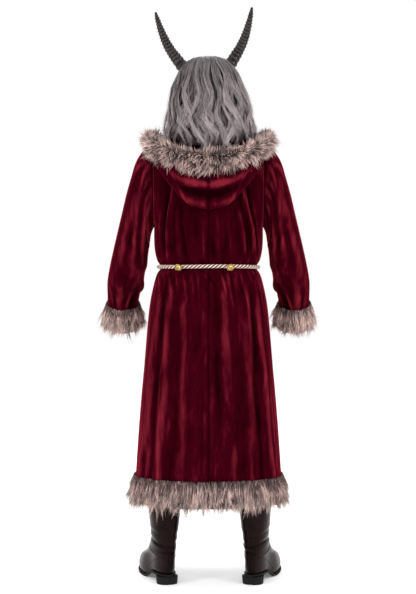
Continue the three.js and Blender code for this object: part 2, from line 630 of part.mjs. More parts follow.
function hoodSection(turn, count) {
  const h = rowAt(HOOD, "turn", turn);
  const neck = neckPoint(turn);
  const low = V(Math.max(h.lowX, SEAM / 2), h.lowY, h.lowZ);
  const edge = V(Math.max(h.edgeX, SEAM / 2), h.edgeY, h.edgeZ);
  const flat = smooth((turn - 56) / 26);
  const out = V(edge.x, edge.y, 0).normalize();
  const face = turn <= 90 ? 1 : -1;
  const over = neck.clone().addScaledVector(V(neck.x, neck.y, 0).normalize(), HOOD_STAND.out);
  over.z += HOOD_STAND.up;
  const inside = neck.clone().lerp(low, 0.5).addScaledVector(UP, mix(26, 10, flat));
  const outside = low.clone().lerp(edge, 0.5).addScaledVector(out, mix(HOOD_SLACK, 3, flat));
  const curve = new THREE.CatmullRomCurve3([neck, over, inside, low, outside, edge], false, "centripetal");
  return [...Array(count).keys()].map((i) => {
    const p = curve.getPoint(i / (count - 1));
    p.x = Math.max(p.x, SEAM / 2);
    if (i === 0 || p.z > 32 || turn > 82 && turn < 108) return p;
    const clear = yokeDepth(face, p.x, p.z) + HOOD_CLEARANCE * Math.min(1, i / 2);
    if (p.y * face < clear) p.y = clear * face;
    return p;
  });
}

function hoodGrid(grow = 0) {
  const grid = [];
  for (const turn of HOOD_TURNS) {
    const section = hoodSection(turn, HOOD_ROWS);
    const [before, edge] = section.slice(-2);
    edge.addScaledVector(edge.clone().sub(before).normalize(), grow);
    grid.push(section);
  }
  const [before, end] = grid.slice(-2).map((section) => section.map((p) => p.clone()));
  grid.at(-1).forEach((p, j) => p.addScaledVector(end[j].clone().sub(before[j]).normalize(), grow));
  for (const p of grid[0]) p.x -= grow;
  const keep = (i) => (i === 0 ? SIDEWAYS : null);
  return { grid, keep };
}

function hoodHalf(side, grow = 0) {
  const { grid, keep } = hoodGrid(grow);
  const outer = grow ? moved(grid, grow, { keep }) : grid;
  const inner = moved(grid, -CLOTH - grow, { keep });
  return shell(mirrored(outer, side), mirrored(inner, side));
}

// The fur on the hood's edge: a thick soft roll folded over the cloth, pressed in where the hair lies.
function hoodFur(side, cloth, hair) {
  const rings = [];
  const place = (turn) => rowAt(HOOD, "turn", turn);
  for (let i = 0; i <= TRIM_STEPS; i++) {
    const turn = (i / TRIM_STEPS) * 178;
    const h = place(turn);
    const next = place(Math.min(178, turn + 3));
    const last = place(Math.max(0, turn - 3));
    const along = V(next.edgeX - last.edgeX, next.edgeY - last.edgeY, next.edgeZ - last.edgeZ);
    if (turn < 3) along.set(1, 0, 0);
    const out = V(along.y, -along.x, 0).multiplyScalar(-1).normalize();
    const lean = radians(h.lean);
    const tallAxis = out.clone().multiplyScalar(Math.sin(lean)).addScaledVector(UP, Math.cos(lean));
    const thickAxis = out.clone().multiplyScalar(Math.cos(lean)).addScaledVector(UP, -Math.sin(lean));
    const closing = i === TRIM_STEPS ? 0.6 : 1;
    const ring = [];
    for (let j = 0; j < TRIM_SIDES; j++) {
      const angle = (j / TRIM_SIDES) * Math.PI * 2;
      const clump = 1 + 0.09 * scatter(i * 7 + j * 13 + side) + (i % 2 ? 0.05 : -0.05);
      const p = V(Math.max(h.edgeX, SEAM / 2), h.edgeY, h.edgeZ)
        .addScaledVector(tallAxis, h.tall * closing * clump * Math.cos(angle))
        .addScaledVector(thickAxis, h.thick * closing * clump * Math.sin(angle));
      ring.push(i === 0 ? V(SEAM / 2, p.y, p.z) : V(Math.max(p.x, SEAM / 2), p.y, p.z));
    }
    rings.push(ring);
  }
  const roll = toSolid(loft(mirrored(rings, side)));
  return toGeometry(roll.subtract(cloth).subtract(hair));
}

// Rope belt
function ropePoint(degrees, away) {
  const turn = radians(degrees);
  const size = rowAt(BODY, "z", WAIST_Z);
  const face = Math.cos(turn) >= 0 ? 1 : -1;
  const depth = face > 0 ? size.back : size.front;
  const x = size.side * signedPower(Math.sin(turn), 2 / RING_POWER);
  const y = depth * signedPower(Math.cos(turn), 2 / RING_POWER);
  const out = V(x / size.side ** 2, y / depth ** 2, 0).normalize();
  return V(x, y, WAIST_Z).addScaledVector(out, away);
}

function tube(points, radius, sides, steps) {
  const curve = new THREE.CatmullRomCurve3(points, false, "centripetal");
  const outline = new THREE.Shape();
  for (let k = 0; k < sides; k++) {
    const a = (k / sides) * Math.PI * 2;
    outline[k ? "lineTo" : "moveTo"](radius * Math.cos(a), radius * Math.sin(a));
  }
  return new THREE.ExtrudeGeometry(outline, { steps, extrudePath: curve, curveSegments: sides });
}

const KNOT_TURN = 8.2;
const KNOT_MIDDLE = ropePoint(180, KNOT.deep + SEAM + 1.6);

function beltRope() {
  const span = 360 - 2 * KNOT_TURN;
  const points = [...Array(49).keys()].map((i) => ropePoint(180 + KNOT_TURN + (span * i) / 48, ROPE_AWAY));
  return tube(points, ROPE_RADIUS, ROPE_SIDES, ROPE_STEPS);
}

function knot() {
  const core = new THREE.SphereGeometry(1, 12, 8).scale(KNOT.wide * 0.82, KNOT.deep * 0.86, KNOT.tall * 0.86);
  const wrap = new THREE.TorusGeometry(KNOT.tall * 0.62, ROPE_RADIUS * 0.9, 6, 12).rotateY(Math.PI / 2).rotateZ(0.35);
  const bow = new THREE.TorusGeometry(KNOT.tall * 0.62, ROPE_RADIUS * 0.9, 6, 12).rotateX(0.5).rotateY(0.5);
  const under = new THREE.BoxGeometry(80, 80, 40).translate(0, 0, -ROPE_END.drop - 20);
  const solid = toSolid(core).add(toSolid(wrap)).add(toSolid(bow.scale(1, 0.8, 1))).subtract(toSolid(under));
  const { x, y, z } = KNOT_MIDDLE;
  return toGeometry(solid).translate(x, y, z);
}

// A free end of the rope, from the knot's flat underside down the front of the skirt.
function ropeEndPoints(side) {
  const start = V(side * ROPE_END.apart, KNOT_MIDDLE.y, WAIST_Z - ROPE_END.drop - 0.003);
  const straight = V(0, 0, -7);
  const points = [start, start.clone().add(straight)];
  for (let share = 0.1; share < 0.99; share += 0.1) {
    const z = start.z - ROPE_END.long * share;
    const x = side * (ROPE_END.apart + ROPE_END.swing * smooth(share * 1.4));
    points.push(V(x, Math.min(start.y, -rowAt(BODY, "z", z).front - ROPE_RADIUS - 7), z));
  }
  return [...points, points.at(-1).clone().add(straight)];
}

function ropeEnd(side) {
  const points = ropeEndPoints(side);
  const tip = points.at(-1);
  const cord = toSolid(tube(points, ROPE_RADIUS, ROPE_SIDES, ROPE_END.steps));
  const endKnot = new THREE.SphereGeometry(END_KNOT_RADIUS, 8, 6).scale(1, 0.9, 1.1);
  return toGeometry(cord.add(toSolid(endKnot.translate(tip.x, tip.y, tip.z - 5))));
}

// A jingle bell: a thin round shell with a cross-shaped slot in its outer side.
function bell(x) {
  const degrees = (Math.asin(Math.sign(x) * (Math.abs(x) / BODY[4].side) ** (RING_POWER / 2)) * 180) / Math.PI;
  const rope = ropePoint(degrees, ROPE_AWAY);
  const out = ropePoint(degrees, 100).sub(rope).normalize();
  const reach = ROPE_RADIUS + BELL_RADIUS - 0.28;
  const dip = radians(BELL_DIP);
  const middle = rope
    .clone()
    .addScaledVector(out, reach * Math.cos(dip))
    .addScaledVector(UP, -reach * Math.sin(dip));
  const ball = toSolid(new THREE.SphereGeometry(BELL_RADIUS, 12, 8));
  const hollow = toSolid(new THREE.SphereGeometry(BELL_RADIUS - BELL_WALL, 12, 8));
  const rim = toSolid(new THREE.CylinderGeometry(BELL_RADIUS + 0.9, BELL_RADIUS + 0.9, 1.6, 12));
  const slots = [0, Math.PI / 2].map((turn) =>
    toSolid(
      new THREE.BoxGeometry(BELL_SLOT, BELL_RADIUS, BELL_RADIUS * 1.7)
        .translate(0, -BELL_RADIUS, 0)
        .rotateY(turn),
    ),
  );
  const shellSolid = ball.add(rim).subtract(hollow).subtract(slots[0]).subtract(slots[1]);
  const facing = out.clone().addScaledVector(UP, -0.5).normalize();
  const tipForward = new THREE.Quaternion().setFromUnitVectors(V(0, -1, 0), facing);
  return toGeometry(shellSolid).applyQuaternion(tipForward).translate(middle.x, middle.y, middle.z);
}

// The head leans a little to the left: wig and horns turn together about the neck.
function leaned(p) {
  const angle = radians(HEAD.lean);
  const x = p.x * Math.cos(angle) + p.z * Math.sin(angle);
  const z = -p.x * Math.sin(angle) + p.z * Math.cos(angle);
  return V(x + HEAD.pivotX, p.y + HEAD.y, z);
}

function hairGrid(grow = 0) {
  const columns = HAIR_LOCKS * HAIR_STEPS_PER_LOCK;
  const grid = [];
  for (let i = 0; i < HAIR_ROWS; i++) {
    const t = i / (HAIR_ROWS - 1);
    const row = [];
    for (let j = 0; j < columns; j++) {
      const degrees = (j / columns) * 360;
      const turn = degrees <= 180 ? degrees : 360 - degrees;
      const phase = (j % HAIR_STEPS_PER_LOCK) / HAIR_STEPS_PER_LOCK;
      const lock = Math.cos(phase * Math.PI * 2);
      const wave = Math.sin(t * 9 + Math.floor(j / HAIR_STEPS_PER_LOCK) * 2.4);
      const tip = (LOCK_TIP / 2) * (lock + 0.6 * scatter(Math.floor(j / HAIR_STEPS_PER_LOCK)));
      const end = rowAt(HAIR_END, "turn", turn).z - tip * smooth((140 - turn) / 20) - grow * 2;
      const z = mix(HAIR[0].z, end, t ** 1.35);
      const size = rowAt(HAIR, "z", z);
      const angle = radians(degrees + 3.2 * wave * smooth(t * 2));
      const depth = Math.cos(angle) > 0 ? size.back : size.front;
      const relief = grow + smooth(t * 2.2) * (LOCK_RELIEF * lock * 0.5 + 1.6 * wave);
      const scale = i === 0 ? 0 : 1;
      row.push(
        leaned(
          V(
            scale * (size.side + relief) * Math.sin(angle),
            scale * (depth + relief) * Math.cos(angle),
            z + (i === 0 ? grow : 0),
          ),
        ),
      );
    }
    grid.push(row);
  }
  return grid;
}

function hairInside() {
  const columns = HAIR_LOCKS * HAIR_STEPS_PER_LOCK;
  return hairGrid().map((row, i) =>
    row.map((point, j) => {
      if (i === 0) return point.clone().addScaledVector(UP, -HAIR_WALL);
      const centre = leaned(V(0, 0, Math.min(235, point.z)));
      const inward = centre.sub(point).normalize();
      const end = i === HAIR_ROWS - 1 ? 0.45 : 1;
      const lock = Math.cos(((j % HAIR_STEPS_PER_LOCK) / HAIR_STEPS_PER_LOCK) * Math.PI * 2);
      return point.clone().addScaledVector(inward, (HAIR_WALL + LOCK_RELIEF * lock * 0.4) * end);
    }),
  );
}

// Everything inside the hair's outer skin, grown a little, to shape the horns' feet.
function hairCutter() {
  const grid = hairGrid(SEAM * 3);
  const under = grid.at(-1).map((p) => V(p.x * 0.85, p.y * 0.85, p.z));
  const floor = under.map((p) => V(p.x * 0.2, p.y * 0.2, 200));
  return toSolid(loft([...grid.slice(1), under, floor].reverse()));
}

function horn(side, cutter) {
  const line = (row) => {
    const h = rowAt(HORN, "row", row);
    return { point: leaned(V(side * h.out, h.back, h.up)), radius: h.radius };
  };
  const rings = [];
  const end = HORN.length - 1;
  for (let i = 0; i <= HORN_STEPS; i++) {
    const row = (i / HORN_STEPS) * end;
    const here = line(row);
    const along = line(Math.min(end, row + 0.1)).point.sub(line(Math.max(0, row - 0.1)).point).normalize();
    const across = V(0, 1, 0).cross(along).normalize();
    const back = along.clone().cross(across).normalize();
    const ridge = i % 3 === 1 ? HORN_RIDGE : 0;
    const fade = smooth((HORN_STEPS - i) / 8);
    const radius = i === HORN_STEPS ? 1.2 : here.radius + ridge * fade;
    rings.push(
      [...Array(HORN_SIDES).keys()].map((k) => {
        const a = (k / HORN_SIDES) * Math.PI * 2;
        return here.point
          .clone()
          .addScaledVector(across, radius * Math.cos(a))
          .addScaledVector(back, radius * 0.92 * Math.sin(a));
      }),
    );
  }
  return toGeometry(toSolid(loft(rings)).subtract(cutter));
}

// Boots, in a frame with the toe along +X, the heel's middle at the origin and the floor at 0.
function soleTop(along) {
  const arch = 1 - smooth((along - 46) / 68);
  const spring = SOLE.spring * smooth((along - 170) / 90);
  return SOLE.thick + SOLE.heelHeight * arch + spring;
}

// An outline of the foot, grown by some width; its height is taken from the outline before it grew.
function footOutline({ heel, toe, half, egg }, height, grow = 0) {
  const middle = (heel + toe) / 2;
  const reach = (toe - heel) / 2;
  return [...Array(BOOT_SIDES).keys()].map((k) => {
    const a = (k / BOOT_SIDES) * Math.PI * 2;
    const along = middle + reach * signedPower(Math.cos(a), 0.94);
    const waist = 1 - 0.16 * hill((along - 70) / 75) * (egg > 0.04 ? 1 : 0);
    const across = half * waist * (1 + egg * Math.cos(a)) * signedPower(Math.sin(a), 0.86);
    return V(along + grow * Math.cos(a), across + grow * Math.sin(a), height(along));
  });
}

function placeBoot(side, geometry) {
  const place = side > 0 ? BOOT_PLACE.left : BOOT_PLACE.right;
  const turn = -Math.PI / 2 + side * radians(place.turnOut);
  return geometry.rotateZ(turn).translate(place.x, place.y, FLOOR_Z);
}

// The upper is a cup: its outer skin up to the open top, then its inner skin down to the insole.
function bootUpper(side) {
  const level = SOLE.thick + SOLE.heelHeight;
  const skin = (thickness) =>
    BOOT.map((row, i) => {
      const insole = thickness && i === 0 ? thickness : 0;
      const lift = SEAM + row.rise + insole;
      return footOutline(row, (along) => mix(soleTop(along), level, smooth(row.rise / 110)) + lift, -thickness);
    });
  return placeBoot(side, loft([...skin(0), ...skin(LEATHER).reverse()]));
}

function bootSole(side) {
  const layer = (drop, grow) => footOutline(BOOT[0], (along) => soleTop(along) - drop, grow);
  return placeBoot(side, loft([layer(SOLE.thick, SOLE.welt - 2), layer(0, SOLE.welt)]));
}

function bootHeel(side) {
  const top = (along) => soleTop(along) - SOLE.thick - SEAM;
  return placeBoot(side, loft([footOutline(HEEL_BLOCK, () => 0, -2), footOutline(HEEL_BLOCK, top)]));
}

function build() {
  const hair = hairCutter();
  for (const [name, side] of [["left", 1], ["right", -1]]) {
    add(`robe_back_${name}`, "velvet", panel(1, side, BACK_COLUMNS));
    add(`robe_front_${name}`, "velvet", panel(-1, side, FRONT_COLUMNS));
    add(`sleeve_${name}`, "velvet", sleeve(side));
    add(`cuff_fur_${name}`, "fur", cuffFur(side));
    add(`hood_${name}`, "velvet", hoodHalf(side));
    add(`hood_fur_${name}`, "fur", hoodFur(side, toSolid(hoodHalf(side, HOOD_SLOT)), hair));
    add(`boot_upper_${name}`, "leather", bootUpper(side));
    add(`boot_sole_${name}`, "sole", bootSole(side));
    add(`boot_heel_${name}`, "sole", bootHeel(side));
    add(`belt_bell_${name}`, "brass", bell(BELL_X[name]));
    add(`belt_end_${name}`, "rope", ropeEnd(side));
  }
  add("hem_fur", "fur", hemFur());
  add("belt_rope", "rope", beltRope());
  add("belt_knot", "rope", knot());
  add("wig", "hair", shell(hairGrid(), hairInside(), { round: true, pole: true }));
  add("horn_left", "horn", horn(1, hair));
  add("horn_right", "horn", horn(-1, hair));
}

build();
export default costume;
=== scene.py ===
"""Dresses a horned winter-devil costume: velvet robe, fur trim, rope belt, wig, horns and boots.

Sizes are millimetres in the part's own frame (+Z up, the front faces -Y, the wearer's left is +X).
Each mesh is scaled to metres when it is made.
"""

import json
import logging
import math
from dataclasses import dataclass, field
from enum import Enum

import bmesh
import bpy
import numpy as np
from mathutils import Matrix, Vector

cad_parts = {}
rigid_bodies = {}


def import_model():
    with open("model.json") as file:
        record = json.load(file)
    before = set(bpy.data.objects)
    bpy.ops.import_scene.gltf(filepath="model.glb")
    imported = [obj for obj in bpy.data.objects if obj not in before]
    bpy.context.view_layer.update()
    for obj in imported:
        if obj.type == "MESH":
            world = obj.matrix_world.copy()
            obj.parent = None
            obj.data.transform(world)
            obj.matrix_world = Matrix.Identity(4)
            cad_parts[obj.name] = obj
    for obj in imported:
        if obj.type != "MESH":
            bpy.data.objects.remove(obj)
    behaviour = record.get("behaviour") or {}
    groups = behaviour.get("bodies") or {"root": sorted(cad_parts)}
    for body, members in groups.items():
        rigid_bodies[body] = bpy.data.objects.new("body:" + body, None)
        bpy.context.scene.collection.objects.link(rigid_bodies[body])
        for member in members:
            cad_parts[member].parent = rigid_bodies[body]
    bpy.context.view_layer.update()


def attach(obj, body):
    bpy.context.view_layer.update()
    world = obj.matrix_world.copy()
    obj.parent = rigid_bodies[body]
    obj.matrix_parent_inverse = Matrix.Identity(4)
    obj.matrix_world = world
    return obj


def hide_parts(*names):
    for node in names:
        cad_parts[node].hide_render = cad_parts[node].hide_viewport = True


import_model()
LOG = logging.getLogger("costume")
MM = 0.001

Array = np.ndarray
Socket = bpy.types.NodeSocket
Piece = bpy.types.Object

FLOOR_Z = -1520.0
HEM_Z = -1150.0
WAIST_Z = -416.0
UNDERARM_Z = -275.0
CLOTH = 1.8
SEAM = 0.4
UP = np.array([0.0, 0.0, 1.0])
# the value of the velvet's painted highlight and shade on plain cloth
PLAIN_CLOTH_SHADING = 0.46
GOLDEN_ANGLE = 137.508
INSET = 1.6
LAP = 4.0


class Side(Enum):
    """The wearer's left or right, as the sign of X."""

    LEFT = 1
    RIGHT = -1

    @property
    def word(self) -> str:
        """The side's name in a node's name."""
        return self.name.lower()

    @property
    def mirror(self) -> Array:
        """What takes points of the wearer's left to this side."""
        return np.array([self.value, 1, 1])


def smooth(t: Array) -> Array:
    """A soft step from 0 to 1."""
    t = np.clip(t, 0.0, 1.0)
    return t * t * (3.0 - 2.0 * t)


def mix(a: Array, b: Array, t: Array) -> Array:
    """The value between a and b at share t."""
    return a + (b - a) * t


def hill(offset: Array) -> Array:
    """A soft hill, 1 in its middle and 0 at one half width away."""
    return np.where(np.abs(offset) < 1.0, (1.0 + np.cos(np.pi * np.clip(offset, -1, 1))) / 2.0, 0.0)


def signed_power(value: Array, power: float) -> Array:
    """A power that keeps the value's sign."""
    return np.sign(value) * np.abs(value) ** power


def unit(vectors: Array) -> Array:
    """The vectors at length 1."""
    return vectors / np.maximum(np.linalg.norm(vectors, axis=-1, keepdims=True), 1e-9)


def stack(x: Array, y: Array, z: Array) -> Array:
    """Points from three arrays of coordinates."""
    return np.stack(np.broadcast_arrays(x, y, z), axis=-1).astype(float)


def round_angles(count: int) -> Array:
    """Evenly spaced angles once round."""
    return np.arange(count) * 2 * np.pi / count


def hermite(a: Array, rise: Array, b: Array, fall: Array, t: Array) -> Array:
    """The cubic from a to b with the slopes rise and fall, at share t."""
    return ((2 * t**3 - 3 * t**2 + 1) * a + (t**3 - 2 * t**2 + t) * rise
            + (3 * t**2 - 2 * t**3) * b + (t**3 - t**2) * fall)


class Profile:
    """A table of sizes that is read on a smooth curve through its rows."""

    def __init__(self, key: str, **columns: list[float]) -> None:
        """Keeps the columns in the order of rising keys.

        Args:
            key: The column that the others are read by.
            columns: The table's columns, all of one length.
        """
        order = np.argsort(columns[key])
        self.key = np.array(columns[key], float)[order]
        self.columns = {name: np.array(values, float)[order] for name, values in columns.items()}

    def at(self, name: str, value: Array) -> Array:
        """Reads a column at some values of the key.

        Args:
            name: The column's name.
            value: Where to read it.

        Returns:
            The column's values there.
        """
        x, y = self.key, self.columns[name]
        value = np.clip(np.asarray(value, float), x[0], x[-1])
        i = np.clip(np.searchsorted(x, value, side="right") - 1, 0, len(x) - 2)
        before, after = np.maximum(i - 1, 0), np.minimum(i + 2, len(x) - 1)
        span = x[i + 1] - x[i]
        t = (value - x[i]) / span
        rise = (y[i + 1] - y[before]) / (x[i + 1] - x[before]) * span
        fall = (y[after] - y[i]) / (x[after] - x[i]) * span
        return hermite(y[i], rise, y[i + 1], fall, t)


def curve_through(points: Array, shares: Array) -> Array:
    """Points on a centripetal curve through others.

    Args:
        points: The points that the curve passes through.
        shares: How far along the curve to read it, from 0 to 1.

    Returns:
        One point for each share.
    """
    n = len(points)
    place = np.asarray(shares) * (n - 1)
    i = np.minimum(place.astype(int), n - 2)
    t = (place - i)[:, None]
    line = np.vstack([2 * points[0] - points[1], points, 2 * points[-1] - points[-2]])
    a, b, c, d = line[i], line[i + 1], line[i + 2], line[i + 3]
    gap = [np.sqrt(np.linalg.norm(q - p, axis=1, keepdims=True)) + 1e-9 for p, q in ((a, b), (b, c), (c, d))]
    start = ((b - a) / gap[0] - (c - a) / (gap[0] + gap[1]) + (c - b) / gap[1]) * gap[1]
    end = ((c - b) / gap[1] - (d - b) / (gap[1] + gap[2]) + (d - c) / gap[2]) * gap[1]
    return hermite(b, start, c, end, t)


# Materials


class Graph:
    """A node tree under construction, with short ways to add and join its nodes."""

    def __init__(self, tree: bpy.types.NodeTree) -> None:
        """Keeps the tree to build in.

        Args:
            tree: The node tree.
        """
        self.tree = tree

    def feed(self, target: Socket, value: object) -> None:
        """Links a socket to another one, or gives it a plain value."""
        if isinstance(value, Socket):
            self.tree.links.new(value, target)
        else:
            target.default_value = value

    def node(self, kind: str, places: dict[int, object] | None = None, **values: object) -> bpy.types.Node:
        """Adds a node and fills its properties and sockets.

        Args:
            kind: The node's type, without the words that all types start with.
            places: What goes into input sockets that are known by number.
            values: Its properties, or what goes into its input sockets by name, with _ for a space.

        Returns:
            The new node.
        """
        made = self.tree.nodes.new(f"ShaderNode{kind}")
        for key, value in values.items():
            if hasattr(made, key):
                setattr(made, key, value)
            else:
                self.feed(made.inputs[key.replace("_", " ")], value)
        for place, value in (places or {}).items():
            self.feed(made.inputs[place], value)
        return made


class Finish(Graph):
    """A material under construction."""

    def __init__(self, name: str) -> None:
        """Starts a material with a Principled shader.

        Args:
            name: The material's name.
        """
        self.material = bpy.data.materials.new(name)
        self.material.use_nodes = True
        super().__init__(self.material.node_tree)
        self.shader = self.tree.nodes["Principled BSDF"]

    def set(self, **values: object) -> None:
        """Fills the shader's own sockets, with _ for a space in their names."""
        for key, value in values.items():
            self.feed(self.shader.inputs[key.replace("_", " ")], value)

    def objects(self) -> Socket:
        """The surface's own coordinates."""
        return self.node("TexCoord").outputs["Object"]

    def own(self) -> Socket:
        """The map that each mesh carries: a shade, and a place along."""
        return self.node("UVMap", uv_map="strand").outputs["UV"]

    def shade(self) -> Socket:
        """The lightness that each mesh carries in its own map: painted highlight and shade on the velvet, the rope
        and the horns, painted shade on the backings, and each strand's own lightness on fur and hair.
        """
        return self.node("SeparateXYZ", {0: self.own()}).outputs["X"]

    def raised(self, value: Socket, factor: float,
               base: Socket) -> Socket:
        """A value times a factor, added to a base."""
        return self.node("Math", {0: value, 1: factor, 2: base}, operation="MULTIPLY_ADD").outputs[0]

    def ramp(self, factor: Socket, *stops: tuple[float, tuple]) -> Socket:
        """Turns a value into a colour.

        Args:
            factor: The value.
            stops: Pairs of a place and a colour.

        Returns:
            The colour's socket.
        """
        made = self.node("ValToRGB", Fac=factor)
        elements = made.color_ramp.elements
        while len(elements) < len(stops):
            elements.new(0.5)
        for element, (place, colour) in zip(elements, stops):
            element.position = place
            element.color = (*colour, 1.0)
        return made.outputs["Color"]

    def bump(self, height: Socket, strength: float, distance: float) -> None:
        """Adds a bump over the ones that are there."""
        made = self.node("Bump", Strength=strength, Distance=distance, Height=height)
        link = self.shader.inputs["Normal"].links
        if link:
            self.feed(made.inputs["Normal"], link[0].from_socket)
        self.set(Normal=made.outputs["Normal"])

    def fibres(self, scale: float, strength: float, distance: float) -> None:
        """Adds a fine noise as a bump."""
        noise = self.node("TexNoise", Vector=self.objects(), Scale=scale, Detail=2.0)
        self.bump(noise.outputs["Fac"], strength, distance)


def effect(name: str, output: tuple[str, str], **inputs: str) -> tuple[Graph, object, Socket]:
    """Starts a shared effect.

    Args:
        name: The effect's name.
        output: The name and kind of its one output.
        inputs: The kind of each input by name, with _ for a space.

    Returns:
        The graph to build in, the sockets that it is given, and the socket for its result.
    """
    tree = bpy.data.node_groups.new(name, "ShaderNodeTree")
    sockets = [(label.replace("_", " "), "INPUT", kind) for label, kind in inputs.items()]
    for label, way, kind in (*sockets, (output[0], "OUTPUT", output[1])):
        tree.interface.new_socket(name=label, in_out=way, socket_type=f"NodeSocket{kind}")
    given, result = tree.nodes.new("NodeGroupInput"), tree.nodes.new("NodeGroupOutput")
    return Graph(tree), given.outputs, result.inputs[0]


def grain_effect() -> bpy.types.NodeTree:
    """Builds the shared effect of mottled patches over finer specks.

    Returns:
        A group with the inputs Vector, Patch Scale, Speck Scale and Speck Share, and the output Value.
    """
    graph, given, result = effect("mottled grain", ("Value", "Float"), Vector="Vector", Patch_Scale="Float",
                                  Speck_Scale="Float", Speck_Share="Float")
    patches, specks = (
        graph.node("TexNoise", Vector=given["Vector"], Scale=given[scale], Detail=3.0, Distortion=warp)
        for scale, warp in (("Patch Scale", 1.4), ("Speck Scale", 0.4)))
    blend = graph.node("Mix", {0: given["Speck Share"], 2: patches.outputs["Fac"], 3: specks.outputs["Fac"]})
    graph.feed(result, blend.outputs[0])
    return graph.tree


def strand_effect() -> bpy.types.NodeTree:
    """Builds the shared colouring of fur and hair from root to tip.

    Returns:
        A group with the inputs UV, Vector, Root, Middle and Tip, and the output Color.
    """
    graph, given, result = effect("strand colour", ("Color", "Color"), UV="Vector", Vector="Vector",
                                  Root="Color", Middle="Color", Tip="Color")
    split = graph.node("SeparateXYZ", {0: given["UV"]}).outputs
    colour = given["Root"]
    for name, low, high in (("Middle", 0.0, 0.42), ("Tip", 0.38, 0.95)):
        share = graph.node("MapRange", Value=split["Y"], From_Min=low, From_Max=high).outputs["Result"]
        colour = graph.node("Mix", {0: share, 6: colour, 7: given[name]}, data_type="RGBA").outputs[2]
    noise = graph.node("TexNoise", Vector=given["Vector"], Scale=22.0)
    light = graph.node("Math", {0: split["X"], 1: noise.outputs["Fac"]}, operation="ADD").outputs[0]
    scaled = graph.node("MapRange", Value=light, From_Min=0.45, From_Max=1.55, To_Min=0.16, To_Max=1.9)
    shaded = graph.node("VectorMath", {0: colour}, operation="SCALE", Scale=scaled.outputs["Result"])
    graph.feed(result, shaded.outputs[0])
    return graph.tree


@dataclass(frozen=True)
class Velvet:
    """Crushed velvet with mottled nap, painted highlight on its ridges and painted shade, nearly black, in its
    troughs.
    """

    # the darkest colour carries the painted shade in the troughs, the brightest the painted highlight on the ridges
    deep: tuple = (0.008, 0.0001, 0.0011)
    middle: tuple = (0.036, 0.0004, 0.0043)
    bright: tuple = (0.165, 0.011, 0.021)
    tint: tuple = (1.0, 0.07, 0.12, 1.0)
    stops: tuple = (0.58, 0.78, 1.0)
    mottle: float = 0.60

    def build(self, grain: bpy.types.NodeTree) -> bpy.types.Material:
        """Makes the material from the shared grain and the cloth's own map of painted highlight on ridges and
        painted shade in troughs.
        """
        finish = Finish("velvet")
        brushed = finish.node("Mapping", Vector=finish.objects(), Scale=(1.0, 1.0, 0.22))
        nap = finish.node("Group", node_tree=grain, Vector=brushed.outputs["Vector"], Patch_Scale=17.0,
                          Speck_Scale=90.0, Speck_Share=0.35).outputs["Value"]
        value = finish.raised(nap, self.mottle, finish.shade())
        rough = finish.node("MapRange", Value=nap, From_Min=0.3, From_Max=0.7, To_Min=0.8, To_Max=0.5)
        finish.bump(nap, 0.5, 0.004)
        finish.fibres(420.0, 0.3, 0.001)
        finish.set(Base_Color=finish.ramp(value, *zip(self.stops, (self.deep, self.middle, self.bright))),
                   Roughness=rough.outputs["Result"], Specular_IOR_Level=0.0,
                   Sheen_Weight=0.42, Sheen_Roughness=0.3, Sheen_Tint=self.tint)
        return finish.material


@dataclass(frozen=True)
class Pile:
    """Fur or hair, coloured from root to tip along each strand's own map."""

    name: str
    root: tuple
    middle: tuple
    tip: tuple
    roughness: float = 0.7
    sheen: float = 0.08
    gloss: float = 0.2

    def build(self, strands: bpy.types.NodeTree) -> bpy.types.Material:
        """Makes the material from the shared strand colouring."""
        finish = Finish(self.name)
        colour = finish.node("Group", node_tree=strands, UV=finish.own(), Vector=finish.objects(),
                             Root=(*self.root, 1), Middle=(*self.middle, 1), Tip=(*self.tip, 1))
        finish.set(Base_Color=colour.outputs["Color"], Roughness=self.roughness, Sheen_Weight=self.sheen,
                   Sheen_Roughness=0.5, Specular_IOR_Level=self.gloss)
        return finish.material


@dataclass(frozen=True)
class RopeTwist:
    """Off-white twisted cord with painted shade in the grooves between its strands."""

    groove_painted_shade: tuple = (0.010, 0.003, 0.003)
    crown: tuple = (0.95, 0.66, 0.58)

    def build(self) -> bpy.types.Material:
        """Makes the material."""
        finish = Finish("rope")
        finish.fibres(900.0, 0.4, 0.0006)
        colour = finish.ramp(finish.shade(), (0.52, self.groove_painted_shade), (0.97, self.crown))
        finish.set(Base_Color=colour, Roughness=0.75, Sheen_Weight=0.3)
        return finish.material


@dataclass(frozen=True)
class Hard:
    """A smooth hard finish with worn, mottled patches and, on request, painted highlight on ring crests and painted
    shade in their grooves.
    """

    name: str
    dark: tuple
    light: tuple
    rough: tuple[float, float]
    patch: float = 12.0
    speck: float = 120.0
    metal: float = 0.0
    relief: float = 0.0008
    gloss: float = 0.2
    # how strongly the map paints highlight on ring crests and shade in their grooves
    rings: float = 0.0

    def build(self, grain: bpy.types.NodeTree) -> bpy.types.Material:
        """Makes the material from the shared grain."""
        finish = Finish(self.name)
        wear = finish.node("Group", node_tree=grain, Vector=finish.objects(), Patch_Scale=self.patch,
                           Speck_Scale=self.speck, Speck_Share=0.45).outputs["Value"]
        # on the horn, the map's crests add painted highlight and its grooves painted shade
        value = finish.raised(finish.shade(), self.rings, wear) if self.rings else wear
        low, high = 0.38 + 0.3 * self.rings, 0.66 + 0.7 * self.rings
        rough = finish.node("MapRange", Value=wear, From_Min=0.35, From_Max=0.65,
                            To_Min=self.rough[0], To_Max=self.rough[1])
        finish.bump(wear, 0.5, self.relief)
        finish.set(Base_Color=finish.ramp(value, (low, self.dark), (high, self.light)),
                   Roughness=rough.outputs["Result"], Metallic=self.metal,
                   Specular_IOR_Level=0.5 if self.metal else self.gloss)
        return finish.material


